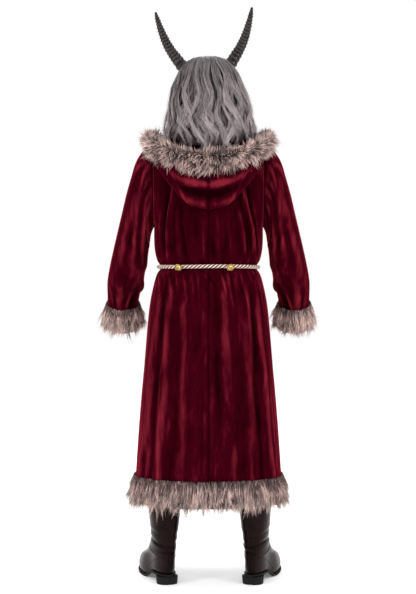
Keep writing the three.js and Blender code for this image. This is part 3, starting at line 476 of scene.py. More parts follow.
@dataclass
class Wardrobe:
    """All the finishes, made once."""

    made: dict[str, bpy.types.Material] = field(default_factory=dict)

    def __post_init__(self) -> None:
        """Builds the shared effects and each material."""
        grain, strands = grain_effect(), strand_effect()
        self.made["velvet"] = Velvet().build(grain)
        piles = (
            Pile("fur", (0.030, 0.017, 0.017), (0.190, 0.116, 0.108), (0.84, 0.62, 0.56)),
            Pile("hair", (0.076, 0.064, 0.067), (0.192, 0.161, 0.166), (0.350, 0.294, 0.302), 0.30, 0.1, 0.5),
        )
        for pile in piles:
            self.made[pile.name] = pile.build(strands)
        self.made["rope"] = RopeTwist().build()
        hards = (
            Hard("brass", (0.55, 0.36, 0.10), (0.95, 0.72, 0.32), (0.16, 0.34), 60.0, 400.0,
                 metal=1.0, relief=0.0002),
            Hard("horn", (0.0025, 0.0014, 0.0016), (0.050, 0.037, 0.037), (0.24, 0.38), 16.0, 160.0,
                 gloss=0.22, rings=0.5),
            Hard("leather", (0.0014, 0.0004, 0.0004), (0.0210, 0.0070, 0.0066), (0.15, 0.28), 9.0, 260.0,
                 gloss=0.06),
            Hard("sole", (0.002, 0.0018, 0.0018), (0.010, 0.0085, 0.008), (0.55, 0.80), 14.0, 200.0),
        )
        for hard in hards:
            self.made[hard.name] = hard.build(grain)

    def dress(self, piece: Piece, finish: str, *nodes: str) -> None:
        """Gives a piece its finish, its body and the solids that it stands for.

        Args:
            piece: The finished piece.
            finish: The finish's name, which is also its slot.
            nodes: The names of the solids that it replaces.
        """
        piece.data.materials.append(self.made[finish])
        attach(piece, "root")
        if nodes:
            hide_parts(*nodes)
        faces = sum(len(polygon.vertices) - 2 for polygon in piece.data.polygons)
        LOG.info("%s: %d triangles", piece.name, faces)


# Meshes


def linked(name: str, data: bpy.types.ID) -> Piece:
    """Puts an object with this data into the scene."""
    made = bpy.data.objects.new(name, data)
    bpy.context.scene.collection.objects.link(made)
    return made


def finished(name: str, work: bmesh.types.BMesh) -> Piece:
    """Turns a bmesh in metres into a smooth-shaded object at the origin."""
    mesh = bpy.data.meshes.new(name)
    work.to_mesh(mesh)
    work.free()
    mesh.shade_smooth()
    return linked(name, mesh)


def laid(name: str, points: Array, *, ring: bool = False, caps: bool = False, turn: bool | None = None,
         shade: Array | None = None) -> Piece:
    """Lays a grid over rows of points.

    Args:
        name: The object's name.
        points: Rows by columns of points, in millimetres.
        ring: Whether the last column meets the first.
        caps: Whether open ends are filled.
        turn: Whether to turn the faces round; None works it out for a closed shape.
        shade: A value for each point, kept in the map as its first coordinate.

    Returns:
        The new object.
    """
    if ring:
        points = np.concatenate([points, points[:, :1]], axis=1)
        shade = None if shade is None else np.concatenate([shade, shade[:, :1]], axis=1)
    rows, columns = points.shape[:2]
    work = bmesh.new()
    own = work.loops.layers.uv.new("strand")
    bmesh.ops.create_grid(work, x_segments=columns - 1, y_segments=rows - 1, size=1.0)
    place = {v: (round((v.co.y + 1) / 2 * (rows - 1)), round((v.co.x + 1) / 2 * (columns - 1))) for v in work.verts}
    for face in work.faces:
        for loop in face.loops:
            i, j = place[loop.vert]
            loop[own].uv = (j / (columns - 1) if shade is None else shade[i, j], i / (rows - 1))
    for vert, (i, j) in place.items():
        vert.co = points[i, j] * MM
    bmesh.ops.remove_doubles(work, verts=work.verts[:], dist=2e-6)
    if caps:
        bmesh.ops.holes_fill(work, edges=[edge for edge in work.edges if edge.is_boundary])
    if turn is None:
        bmesh.ops.recalc_face_normals(work, faces=work.faces[:])
    elif turn:
        bmesh.ops.reverse_faces(work, faces=work.faces[:])
    return finished(name, work)


def walled(piece: Piece, wall: float = CLOTH) -> Piece:
    """Gives a sheet its thickness, inwards from its faces."""
    solid = piece.modifiers.new("wall", "SOLIDIFY")
    solid.thickness = wall * MM
    solid.offset = -1.0
    return piece


def strands(name: str, paths: Array, radius: Array, out: Array, shade: Array,
            flat: float = 0.55, begin: Array | float = 0.0) -> Piece:
    """Joins tapered three-sided strands into one mesh.

    Args:
        name: The object's name.
        paths: Strands by points along each, from root to tip, in millimetres.
        radius: The radius at each point but the tip.
        out: The direction off the surface, one for each strand.
        shade: A lightness from 0 to 1, one for each strand.
        flat: The strand's thickness as a share of its width.
        begin: How far along its colouring each strand starts, from 0 at the root colour.

    Returns:
        The new object.
    """
    count, steps = paths.shape[:2]
    along = unit(np.gradient(paths, axis=1))
    side = unit(np.cross(along, out[:, None, :]))
    up = np.cross(side, along)
    angles = np.array([math.pi / 2, math.pi * 7 / 6, math.pi * 11 / 6])
    rings = paths[:, :-1, None, :] + radius[:, :, None, None] * (
        np.cos(angles)[None, None, :, None] * side[:, :-1, None, :]
        + flat * np.sin(angles)[None, None, :, None] * up[:, :-1, None, :]
    )
    verts = np.concatenate([rings.reshape(count, -1, 3), paths[:, -1:, :]], axis=1)
    each = verts.shape[1]
    quads = [(3 * i + j, 3 * i + 3 + j, 3 * i + 3 + (j + 1) % 3, 3 * i + (j + 1) % 3)
             for i in range(steps - 2) for j in range(3)]
    last = 3 * (steps - 2)
    tips = [(last + j, each - 1, last + (j + 1) % 3) for j in range(3)] + [(0, 1, 2)]
    loops = np.array([n for face in quads + tips for n in face])
    sizes = np.array([4] * len(quads) + [3] * len(tips))
    share = np.append(np.repeat(np.arange(steps - 1) / (steps - 1), 3), 1.0)
    mesh = bpy.data.meshes.new(name)
    mesh.vertices.add(count * each)
    mesh.vertices.foreach_set("co", (verts * MM).ravel())
    mesh.loops.add(count * len(loops))
    shifts = np.arange(count)[:, None] * each
    mesh.loops.foreach_set("vertex_index", (loops[None] + shifts).ravel())
    mesh.polygons.add(count * len(sizes))
    totals = np.tile(sizes, count)
    mesh.polygons.foreach_set("loop_start", np.concatenate([[0], np.cumsum(totals)[:-1]]))
    own = mesh.uv_layers.new(name="strand")
    coordinates = np.empty((count, len(loops), 2))
    coordinates[:, :, 0] = np.clip(shade, 0, 1)[:, None]
    first = np.broadcast_to(begin, (count,))[:, None]
    coordinates[:, :, 1] = first + (1 - first) * share[loops][None]
    own.data.foreach_set("uv", coordinates.ravel())
    mesh.validate()
    mesh.update(calc_edges=True)
    mesh.shade_smooth()
    return linked(name, mesh)


# The robe


def painted_relief_shading(points: Array, gain: float = 0.055, ring: bool = False) -> Array:
    """Painted highlight and shade from the cloth's relief: high on ridges and low in troughs.

    Args:
        points: Rows by columns of points of a cloth.
        gain: How much a millimetre of relief counts.
        ring: Whether the last column meets the first.

    Returns:
        A value for each point, about 0.5 on plain cloth.
    """
    total = np.zeros(points.shape[:2])
    for reach, share in ((1, 1.6), (3, 0.5)):
        if ring:
            near = (np.roll(points, reach, axis=1) + np.roll(points, -reach, axis=1)) / 2
        else:
            wide = np.concatenate([points[:, :1]] * reach + [points] + [points[:, -1:]] * reach, axis=1)
            near = (wide[:, 2 * reach:] + wide[:, :-2 * reach]) / 2
            near[:, :reach], near[:, -reach:] = points[:, :reach], points[:, -reach:]
        off = points - near
        normal = unit(np.cross(np.gradient(points, axis=1), np.gradient(points, axis=0)) + 1e-9)
        rise = (off * normal).sum(axis=-1)
        axis = points.mean(axis=1, keepdims=True) if ring else np.zeros(3)
        rise = rise * np.sign((normal * (points - axis) * [1, 1, 0]).sum(axis=-1))
        total += share * np.clip((rise - np.median(rise, axis=0, keepdims=True) * 0.6) * gain, -0.13, 0.24)
    return PLAIN_CLOTH_SHADING + total


@dataclass(frozen=True)
class Fold:
    """A fold down a panel: its place across at both ends, half width, depth, and levels."""

    top: float
    low: float
    wide: float
    deep: float
    start: float
    stop: float


@dataclass
class Robe:
    """The robe's body: two backs and two fronts from the shoulders to the hem."""

    body: Profile = field(default_factory=lambda: Profile(
        "z",
        z=[-275, -320, -360, -392, -416, -440, -475, -545, -630, -740, -860, -1000, -1150],
        side=[191, 191, 188, 180, 167.6, 181, 192, 206, 215, 224, 235, 246, 256],
        back=[138, 139, 138, 132, 121, 134, 147, 160, 165, 171, 179, 189, 201],
        front=[138, 141, 142, 138, 130, 140, 149, 157, 162, 169, 177, 187, 198],
    ))
    ring_power: float = 2.2
    neck_share: float = 0.42
    neck_side: tuple[float, float] = (88, 28)
    neck_back: tuple[float, float] = (74, 10)
    neck_front: tuple[float, float] = (92, -42)
    shoulder: tuple[float, float] = (193.5, 8)
    armhole: float = 62
    yoke_rows: int = 44
    waist_rows: int = 26
    skirt_rows: int = 40
    columns: int = 58
    # how strongly the folds' relief paints highlight on ridges and shade in troughs
    relief_shading_gain: float = 0.031
    # how much weaker the painted highlight and shade lie on the skirt, in its middle and more at its sides
    calm: tuple[float, float] = (0.12, 0.38)
    # how much lighter the skirt's sides are painted, as painted light, and how much darker the middle above the
    # waist
    tilt: float = 0.05
    # painted shade: how much darker the seam behind, the opening in front and the side seam are
    seam_painted_shade: tuple[float, float, float] = (0.10, 0.30, 0.06)
    back_folds: list[Fold] = field(default_factory=lambda: [Fold(*row) for row in (
        (160, 150, 24, -13, -70, -405), (134, 128, 22, 7, -90, -405), (106, 98, 20, 6, -190, -410),
        (-6, -11, 20, -8, -240, -470), (-96, -126, 18, 7, -200, -410), (-124, -158, 19, 9, -110, -410),
        (-146, -172, 16, -10, -90, -408), (158, 232, 30, 9, -430, -1400), (140, 200, 26, -9, -430, -1400),
        (124, 166, 26, 10, -430, -1400), (98, 118, 28, -6, -430, -1300), (70, 84, 26, 6, -430, -1250),
        (2, -4, 22, 7, -425, -1150), (-19, -30, 22, -8, -425, -1050), (-44, -58, 24, 6, -425, -900),
        (-88, -106, 34, -9, -450, -1400), (-122, -142, 26, 8, -425, -1350), (-138, -176, 22, -8, -425, -1400),
        (-152, -218, 26, 11, -425, -1500),
        # the finer folds
        (150, 138, 9, 3.2, -170, -408), (122, 112, 8, 2.6, -230, -408), (86, 66, 10, -2.4, -260, -408),
        (-58, -74, 11, 2.4, -250, -408), (-112, -132, 8, -3.0, -180, -408), (-134, -150, 7, 3.6, -150, -408),
        (170, 158, 9, 4.0, -424, -560), (146, 132, 8, -3.4, -424, -560), (134, 116, 8, 4.0, -424, -550),
        (108, 92, 8, 3.2, -424, -545), (82, 60, 8, 3.2, -424, -560), (44, 34, 9, -3.0, -424, -540),
        (12, -28, 7, -4.0, -424, -500), (-34, -56, 7, 4.0, -424, -520), (-66, -84, 8, -3.0, -424, -560),
        (-100, -132, 8, 3.6, -424, -570), (-160, -196, 8, 4.4, -424, -600), (-176, -226, 9, -3.4, -440, -800),
        (160, 162, 7, 4.0, -650, -1400), (-198, -236, 7, 4.6, -700, -1500), (20, 16, 5, -2.0, -760, -1200),
    )])
    front_folds: list[Fold] = field(default_factory=lambda: [Fold(*row) for row in (
        (158, 150, 24, -12, -80, -405), (128, 118, 22, 7, -100, -405), (84, 72, 22, 6, -160, -408),
        (-84, -74, 22, 6, -150, -408), (-126, -116, 22, 8, -100, -405), (-156, -150, 24, -11, -80, -405),
        (154, 222, 30, 10, -430, -1400), (134, 186, 28, -9, -430, -1400), (108, 148, 28, 9, -430, -1350),
        (74, 104, 28, -7, -430, -1250), (46, 62, 26, 8, -425, -1300), (-42, -58, 26, 8, -425, -1350),
        (-72, -98, 28, -8, -430, -1300), (-104, -146, 28, 9, -430, -1400), (-132, -190, 28, -9, -430, -1400),
        (-152, -226, 30, 10, -430, -1400),
        # the finer folds
        (140, 124, 9, 3.0, -190, -408), (104, 84, 9, -3.0, -210, -408), (56, 40, 9, 2.6, -240, -408),
        (-52, -36, 9, 2.8, -230, -408), (-100, -82, 9, -3.0, -200, -408), (-142, -128, 9, 3.2, -180, -408),
        (150, 140, 8, 4.0, -424, -560), (118, 104, 8, 3.6, -424, -540), (90, 70, 8, -3.2, -424, -560),
        (58, 50, 8, 3.6, -424, -570), (-30, -48, 8, 3.2, -424, -540), (-58, -80, 8, -3.4, -424, -560),
        (-88, -108, 8, 3.8, -424, -560), (-120, -140, 8, 4.0, -424, -580), (30, 34, 6, -2.4, -640, -1400),
        (-176, -214, 8, 3.6, -650, -1500),
    )])

    def fold_depth(self, face: int, across: Array, z: Array) -> Array:
        """How far the folds push the cloth out at some places.

        Args:
            face: 1 behind and -1 in front.
            across: The place across, from -1 at the right edge to 1 at the left edge.
            z: The height.

        Returns:
            The depth, below zero in a trough.
        """
        level = np.minimum(z, UNDERARM_Z)
        side = self.body.at("side", level)
        quarter = (side + (self.body.at("back", level) + self.body.at("front", level)) / 2) * 0.8
        depth = np.zeros(np.broadcast(across, z).shape)
        for n, fold in enumerate(self.back_folds if face > 0 else self.front_folds):
            share = (fold.start - z) / (fold.start - fold.stop)
            reach = np.clip((fold.start - z) / (fold.start - max(fold.stop, HEM_Z)), 0, 1)
            x = mix(fold.top, fold.low, reach) + 0.12 * fold.wide * np.sin(z / 57.0 + n * 2.1)
            middle = np.arcsin(np.clip(x / side, -1, 1)) / (np.pi / 2)
            fade = np.minimum(smooth(share * 5), smooth((1 - share) * 4))
            bulge = hill((across - middle) * quarter / fold.wide)
            depth = depth + fold.deep * fade * bulge
        gather = np.sin(across * 46 + 1.7 * np.sin(across * 11 + face)) * (0.7 + 0.3 * np.sin(across * 17))
        below = np.where(z < WAIST_Z, 44.0, 30.0)
        tuck = 2.1 * gather * np.exp(-np.abs(z - WAIST_Z) / below)
        nip = smooth((np.abs(z - WAIST_Z) - 6) / 30) * mix(1.0, 0.72, smooth((-470 - z) / 120))
        shade = smooth((-60 - z) / 60) if face > 0 else smooth((-70 - z) / 50)
        edge = 1 - smooth((np.abs(across) - 0.9) / 0.1)
        return (depth * nip + tuck * smooth((np.abs(z - WAIST_Z) - 5) / 9)) * shade * edge

    def body_point(self, face: int, across: Array, z: Array, folded: bool = True) -> Array:
        """Points of the robe below the underarm, with its folds or without them."""
        side = self.body.at("side", z)
        depth = self.body.at("back" if face > 0 else "front", z)
        angle = across * np.pi / 2
        x = side * signed_power(np.sin(angle), 2 / self.ring_power)
        y = face * np.maximum(depth * signed_power(np.cos(angle), 2 / self.ring_power), SEAM / 2)
        if not folded:
            return stack(x, y, z)
        out = unit(stack(x / side**2, y / depth**2, 0 * y))
        return stack(x, y, z) + out * self.fold_depth(face, across, z)[..., None]

    def top_edge(self, face: int, across: Array) -> Array:
        """Points of the neckline and the shoulder seam."""
        share, side = np.abs(across), np.sign(across)
        angle = np.minimum(share / self.neck_share, 1.0) * np.pi / 2
        depth, middle = self.neck_back if face > 0 else self.neck_front
        neck = stack(side * self.neck_side[0] * np.sin(angle),
                     face * np.maximum(depth * np.cos(angle), SEAM / 2),
                     mix(middle, self.neck_side[1], 1 - np.cos(angle)))
        along = np.clip((share - self.neck_share) / (1 - self.neck_share), 0, 1)
        seam = stack(side * mix(self.neck_side[0], self.shoulder[0], along), face * SEAM / 2 + 0 * along,
                     mix(self.neck_side[1], self.shoulder[1], along**1.2))
        return np.where((share <= self.neck_share)[..., None], neck, seam)

    def yoke_point(self, face: int, across: Array, rise: Array) -> Array:
        """Points between the underarm level, at rise 0, and the top edge, at rise 1."""
        across, rise = np.broadcast_arrays(across, rise)
        foot = self.body_point(face, across, np.full(across.shape, UNDERARM_Z), folded=False)
        top = self.top_edge(face, across)
        rounding = np.maximum(1 - rise**3.2, 0) ** 0.6
        z = mix(UNDERARM_Z, top[..., 2], rise)
        y = top[..., 1] + (foot[..., 1] - top[..., 1]) * rounding
        hole = face * self.armhole * 2 * np.sqrt(np.maximum(rise * (1 - rise), 0))
        y = y + smooth((np.abs(across) - 0.5) / 0.5) * hole
        side, depth = self.body.at("side", UNDERARM_Z), self.body.at("back", UNDERARM_Z)
        out = unit(foot * [1 / side**2, 1 / depth**2, 0]) * self.fold_depth(face, across, z)[..., None]
        return stack(mix(foot[..., 0], top[..., 0], rise**0.8), y, z) + out

    def yoke_depth(self, face: int, x: float, z: float) -> float:
        """How far the yoke's surface stands from the middle at one place."""
        across = np.linspace(0, 1, 101)
        rise = (z - UNDERARM_Z) / (self.top_edge(face, across)[..., 2] - UNDERARM_Z)
        points = self.yoke_point(face, across, np.clip(rise, 0, 1))
        good = rise < 1
        if not good.any() or x < points[good, 0].min() or x > points[good, 0].max():
            return 0.0
        order = np.argsort(points[good, 0])
        return float(np.interp(x, points[good, 0][order], np.abs(points[good, 1])[order]))

    def panel_points(self, face: int, side: Side) -> Array:
        """The points of one quarter of the robe, from its neck down to its hem."""
        inner = self.columns // 2
        shares = np.concatenate([np.linspace(0.0, self.neck_share, inner),
                                 np.linspace(self.neck_share, 1.0, self.columns - inner + 1)[1:]])
        across = (shares * side.value)[None, :]
        rise = ((1 + np.cos(np.linspace(0, np.pi, self.yoke_rows))) / 2)[:, None]
        levels = np.concatenate([
            np.linspace(UNDERARM_Z - 4, -395, self.waist_rows), np.linspace(-400, -470, self.waist_rows),
            np.linspace(-478, HEM_Z, self.skirt_rows)])[:, None]
        points = np.concatenate([self.yoke_point(face, across, rise), self.body_point(face, across, levels)])
        points[:, 0, 0] = side.value * 0.02
        points[self.yoke_rows:, -1, 1] = face * 0.02
        return points

    def build(self, wardrobe: Wardrobe) -> None:
        """Makes and dresses the four panels."""
        for side in Side:
            for face, word in ((1, "back"), (-1, "front")):
                points = self.panel_points(face, side)
                name = f"robe_{word}_{side.word}"
                # painted highlight on the ridges and painted shade in the troughs of the folds
                shade = painted_relief_shading(points, self.relief_shading_gain)
                above = smooth((points[..., 2] - WAIST_Z) / 60)
                edge = smooth((np.linspace(0, 1, shade.shape[1]) - 0.6) / 0.3)
                calm = (self.calm[0] + self.calm[1] * edge) * (1 - above)
                shade = PLAIN_CLOTH_SHADING + (shade - PLAIN_CLOTH_SHADING) * (1 - calm)
                # painted light towards the skirt's sides, and darker above the waist away from the sides
                shade += self.tilt * (1 - above) * edge - self.tilt * above * (1 - edge)
                # painted shade along the seams and the front opening
                shade[:, 0] -= self.seam_painted_shade[0 if face > 0 else 1]
                shade[:, -1] -= self.seam_painted_shade[2]
                piece = walled(laid(f"{name}_cloth", points, turn=face * side.value < 0, shade=shade))
                wardrobe.dress(piece, "velvet", name)


@dataclass
class Sleeve:
    """A sleeve from its armhole to the cuff, with the forearm swung forward."""

    rings: Profile = field(default_factory=lambda: Profile(
        "row",
        row=[0, 1, 2, 3, 4, 5, 6, 7, 8, 9, 10, 11, 12],
        out_x=[193.9, 224, 244, 259, 271, 289, 306, 323, 338, 352, 361, 362, 362],
        out_z=[8, -3, -26, -56, -96, -158, -228, -296, -356, -415, -465, -510, -553],
        in_x=[191.4, 196, 200, 203, 205, 208, 212, 215, 218, 224, 235, 248, 253],
        in_z=[-275, -283, -294, -306, -320, -338, -362, -392, -426, -458, -490, -520, -556],
        deep=[62, 68, 71, 72, 72, 71, 70, 69, 67, 64, 61, 57, 55],
        mid=[0, 0, 0, -1, -3, -7, -13, -22, -35, -51, -67, -83, -98],
        tip=[0, 0, 0, 0, 1, 3, 6, 10, 14, 18, 21, 23, 24],
    ))
    last: float = 12.0
    rows: int = 84
    columns: int = 72
    relief_shading_gain: float = 0.066
    # along (rows), round (degrees), half length, half width in degrees, depth, slant for each row
    folds: tuple = (
        (3.6, 150, 3.2, 26, 7, 8), (5.2, 108, 4.0, 24, -6, 5), (6.6, 60, 4.5, 26, 5, -3),
        (8.6, 172, 1.3, 46, -9, 0), (9.6, 150, 1.2, 44, 7, 0), (10.6, 130, 2.2, 24, -6, -6),
        (10.4, 78, 2.8, 26, 5, 4), (5.0, 235, 4.2, 26, 6, 4), (8.4, 285, 3.6, 28, -6, -4),
        (10.2, 330, 2.4, 24, 5, 3), (4.6, 152, 0.9, 16, 5.5, 26), (5.3, 160, 0.7, 20, -5.0, 20),
        (1.5, 66, 1.6, 10, 3.2, 6), (1.5, 92, 1.8, 9, -3.0, 4), (1.6, 118, 1.8, 10, 3.0, 3),
        (2.6, 40, 2.4, 11, 2.6, -8), (5.9, 128, 0.8, 30, 3.6, 16), (6.6, 70, 0.6, 34, -3.2, 22),
        (8.2, 120, 0.5, 40, 3.4, 26), (9.0, 96, 0.5, 46, -3.4, 18), (9.8, 60, 0.6, 40, 3.2, 20),
        (10.4, 168, 0.5, 40, -3.4, 10), (11.0, 110, 1.1, 12, 3.0, -8), (11.0, 60, 1.0, 12, -2.6, 6),
        (11.1, 200, 1.0, 12, 2.8, 6), (6.8, 250, 0.9, 34, 3.2, -14), (9.2, 300, 0.6, 40, 3.4, 12),
    )

    def axes(self, row: Array) -> tuple[Array, Array, Array]:
        """The left sleeve's middle, its outward half width and its backward direction at some rows."""
        at = self.rings.at
        tip = np.radians(at("tip", row))
        middle = stack((at("out_x", row) + at("in_x", row)) / 2, at("mid", row),
                       (at("out_z", row) + at("in_z", row)) / 2)
        outward = stack((at("out_x", row) - at("in_x", row)) / 2, 0 * row,
                        (at("out_z", row) - at("in_z", row)) / 2)
        return middle, outward, stack(0 * row, np.cos(tip), -np.sin(tip))

    def ring(self, row: Array, degrees: Array) -> Array:
        """Points of the left sleeve at some rows and turns."""
        middle, outward, backward = self.axes(row)
        angle = np.radians(degrees)[..., None]
        turn = outward * np.cos(angle) + backward * self.rings.at("deep", row)[..., None] * np.sin(angle)
        depth = 0.0
        for along, round_, long, wide, deep, slant in self.folds:
            away = (degrees - round_ - slant * (row - along) + 540) % 360 - 180
            depth = depth + deep * hill((row - along) / long) * hill(away / wide)
        return middle + turn + unit(turn) * np.asarray(depth)[..., None]

    def along(self, row: float) -> Array:
        """The direction down the left sleeve at a row."""
        _, outward, backward = self.axes(row)
        return unit(np.cross(backward, outward))

    def build(self, wardrobe: Wardrobe) -> None:
        """Makes and dresses both sleeves."""
        row = np.linspace(0, self.last, self.rows)[:, None]
        degrees = (np.arange(self.columns) * 360 / self.columns)[None, :]
        points = self.ring(*np.broadcast_arrays(row, degrees))
        for side in Side:
            own = points * side.mirror
            # painted highlight on the folds' ridges, painted shade in their troughs, and painted shade at the
            # armhole seam
            shade = painted_relief_shading(own, self.relief_shading_gain, ring=True)
            shade[:2] -= 0.2
            piece = walled(laid(f"sleeve_{side.word}_cloth", own, ring=True, turn=side.value > 0, shade=shade))
            wardrobe.dress(piece, "velvet", f"sleeve_{side.word}")


@dataclass
class Hood:
    """The fallen hood: from the neck seam down into its pouch and up to the fur."""

    robe: Robe
    table: Profile = field(default_factory=lambda: Profile(
        "turn",
        turn=[0, 20, 38, 56, 76, 98, 122, 150, 178],
        low_x=[0.2, 68, 118, 160, 172, 152, 136, 84, 6],
        low_y=[162, 158, 148, 118, 72, 0, -62, -102, -126],
        low_z=[-225, -206, -156, -92, 2, 28, 14, -24, -60],
        edge_x=[0.2, 84, 142, 184, 203, 196, 166, 100, 27],
        edge_y=[186, 180, 154, 110, 54, -8, -84, -138, -158],
        edge_z=[-60, -47, -24, -2, 22, 41, 20, -28, -86],
        lean=[4, 5, 8, 14, 34, 78, 46, 18, 6],
        tall=[46, 45, 44, 43, 41, 38, 39, 40, 40],
        thick=[27, 27, 27, 26, 25, 25, 25, 24, 22],
    ))
    clearance: float = 7
    stand: tuple[float, float] = (5, 15)
    slack: float = 13
    end: float = 178
    # the painted shading: its plain level, the folds' highlight and shade per millimetre of relief, and the painted
    # shade low in the pouch
    plain: float = 0.45
    relief_shading_gain: float = 0.04
    hollow_painted_shade: float = 0.12
    # the folds: middle turn, half width in turn, place along the section, its drop, half width, depth
    folds: tuple = (
        (0, 56, 0.80, 0.0, 0.045, 8.0), (0, 50, 0.735, 0.0, 0.04, -8.0), (14, 26, 0.66, 0.0, 0.05, 3.5),
        (26, 14, 0.70, 0.15, 0.04, 3.4), (40, 18, 0.60, -0.1, 0.05, -3.0), (64, 20, 0.74, 0.1, 0.06, 3.0),
    )

    def neck_point(self, turn: float) -> Array:
        """A point just above the robe's neckline."""
        face = 1 if turn <= 90 else -1
        angle = math.radians(turn if turn <= 90 else 180 - turn)
        share = np.array(self.robe.neck_share * angle / (math.pi / 2))
        point = self.robe.top_edge(face, share).copy()
        return np.array([max(point[0], SEAM / 2), point[1], point[2] + SEAM * 2.5])

    def section(self, turn: float, count: int) -> Array:
        """The points of the hood's cloth on one section."""
        at = self.table.at
        neck = self.neck_point(turn)
        low = np.array([max(float(at("low_x", turn)), SEAM / 2), at("low_y", turn), at("low_z", turn)], float)
        edge = self.edge(turn)
        flat = float(smooth((turn - 56) / 26))
        out = unit(edge * [1, 1, 0])
        face = 1 if turn <= 90 else -1
        over = neck + unit(neck * [1, 1, 0]) * self.stand[0] + [0, 0, self.stand[1]]
        inside = mix(neck, low, 0.5) + [0, 0, mix(26, 10, flat)]
        outside = mix(low, edge, 0.5) + out * mix(self.slack, 3, flat)
        points = curve_through(np.array([neck, over, inside, low, outside, edge]), np.linspace(0, 1, count))
        points[:, 0] = np.maximum(points[:, 0], SEAM / 2)
        if 82 < turn < 108:
            return points
        for i in range(1, count):
            if points[i, 2] < 32:
                gap = self.clearance * min(1.0, i / count * 5)
                clear = self.robe.yoke_depth(face, points[i, 0], points[i, 2]) + gap
                points[i, 1] = face * max(points[i, 1] * face, clear)
        return points

    def edge(self, turn: float) -> Array:
        """A point of the hood's free edge."""
        x, y, z = (float(self.table.at(f"edge_{axis}", turn)) for axis in "xyz")
        return np.array([max(x, SEAM / 2), y, z])

    def relief(self, shape: tuple[int, int]) -> Array:
        """How far the folds push the hood's cloth out, on a grid of turns by places along a section."""
        share = np.linspace(0, 1, shape[1])[None, :]
        turn = np.linspace(0, self.end, shape[0])[:, None]
        depth = np.zeros(shape)
        for middle, wide, place, drop, half, deep in self.folds:
            near = (turn - middle) / wide
            depth += deep * hill(near) * hill((share - place - drop * near) / half)
        return depth

    def points(self, rows: int = 62, columns: int = 56) -> Array:
        """The left half's points, with its folds."""
        turns = np.linspace(0, self.end, rows)
        grid = np.array([self.section(float(turn), columns) for turn in turns])
        depth = self.relief(grid.shape[:2])
        normal = unit(np.cross(np.gradient(grid, axis=1), np.gradient(grid, axis=0)))
        grid = grid + normal * depth[..., None]
        grid[0, :, 0] = 0.02
        return grid

    def build(self, wardrobe: Wardrobe) -> None:
        """Makes and dresses both halves."""
        points = self.points()
        share = np.linspace(0, 1, points.shape[1])[None, :]
        # painted highlight and shade from the folds, painted shade low in the pouch and along the centre seam
        shade = self.plain + self.relief_shading_gain * self.relief(points.shape[:2])
        shade = shade - self.hollow_painted_shade * hill((share - 0.52) / 0.16)
        shade[:1] -= 0.15
        for side in Side:
            own = points * side.mirror
            piece = walled(laid(f"hood_{side.word}_cloth", own, turn=side.value < 0, shade=shade))
            wardrobe.dress(piece, "velvet", f"hood_{side.word}")


# Fur


@dataclass
class Coat:
    """A long pile that grows from a backing in soft locks."""

    steps: tuple = (0.0, 0.45, 1.0)
    radius: float = 1.0
    reach: float = 246.0

    def grow(self, name: str, root: Array, out: Array, flow: Array, length: Array,
             cell: Array, seed: int, *, tone: float | Array, lift: float = 0.24,
             droop: float = 0.05, spread: float = 0.16) -> Piece:
        """Grows the strands of one piece.

        Args:
            name: The piece's name.
            root: Where each strand starts.
            out: The direction off the backing.
            flow: The direction along the backing that the pile lies in.
            length: Each strand's length.
            cell: The number of the lock that each strand belongs to.
            seed: The number that settles the scatter.
            tone: How light the strands are, from 0 to 1.
            lift: How far the pile stands off, as a share of its length.
            droop: How far it falls, as a share of its length.
            spread: How far locks wander sideways, as a share of the length.

        Returns:
            The new piece.
        """
        rng = np.random.default_rng(seed)
        locks = int(cell.max()) + 1
        centre = np.stack([np.bincount(cell, root[:, k], locks) for k in range(3)], axis=1)
        centre /= np.maximum(np.bincount(cell, minlength=locks), 1)[:, None]
        wander = rng.normal(0, spread, (locks, 3))[cell] + rng.normal(0, spread * 0.4, (len(root), 3))
        uneven = rng.normal(1, 0.07, locks)[cell] + rng.normal(0, 0.14, len(root))
        reach = (length * np.clip(uneven, 0.5, 1.4))[:, None]
        raised = np.clip(rng.normal(lift, lift * 0.3, locks), 0.05, 1)[cell][:, None]
        paths = []
        for s in self.steps:
            point = root + reach * (flow * (s - 0.12 * s * s) + out * raised * s * (1 - 0.5 * s))
            point = point + reach * (wander * s * s + np.array([0, 0, -droop * s * s]))
            point = point + (centre[cell] - root) * 0.3 * s
            paths.append(np.clip(point, [-420, -self.reach, -1400], [420, self.reach, 120]))
        radius = self.radius * rng.uniform(0.7, 1.3, len(root))[:, None] * np.array([[1.0, 0.9]])
        shade = np.clip(tone + rng.normal(0, 0.14, locks)[cell] + rng.normal(0, 0.34, len(root)), 0, 1)
        begin = np.clip(rng.uniform(-0.25, 0.55, len(root)), 0, 1)
        return strands(name, np.stack(paths, axis=1), radius, out, shade, begin=begin)


def band_backing(points: Array, out: Array, along: Array, *, rows: int, bulge: float,
                 arch: float, long: float) -> Array:
    """Rows of a fur band's backing, from just inside the cloth to the band's free edge.

    Args:
        points: The cloth's edge, all round.
        out: The direction off the cloth at each of these points.
        along: The direction that the band hangs in.
        rows: The number of rows.
        bulge: How far the backing swells out.
        arch: The share of a half turn that the swell runs through.
        long: The backing's length.

    Returns:
        Rows by columns of points.
    """
    share = np.linspace(0, 1, rows)[:, None, None]
    swell = bulge * np.sin(np.pi * share * arch) ** 0.7 - INSET
    return points[None] + out[None] * swell + along * (share * long - LAP)


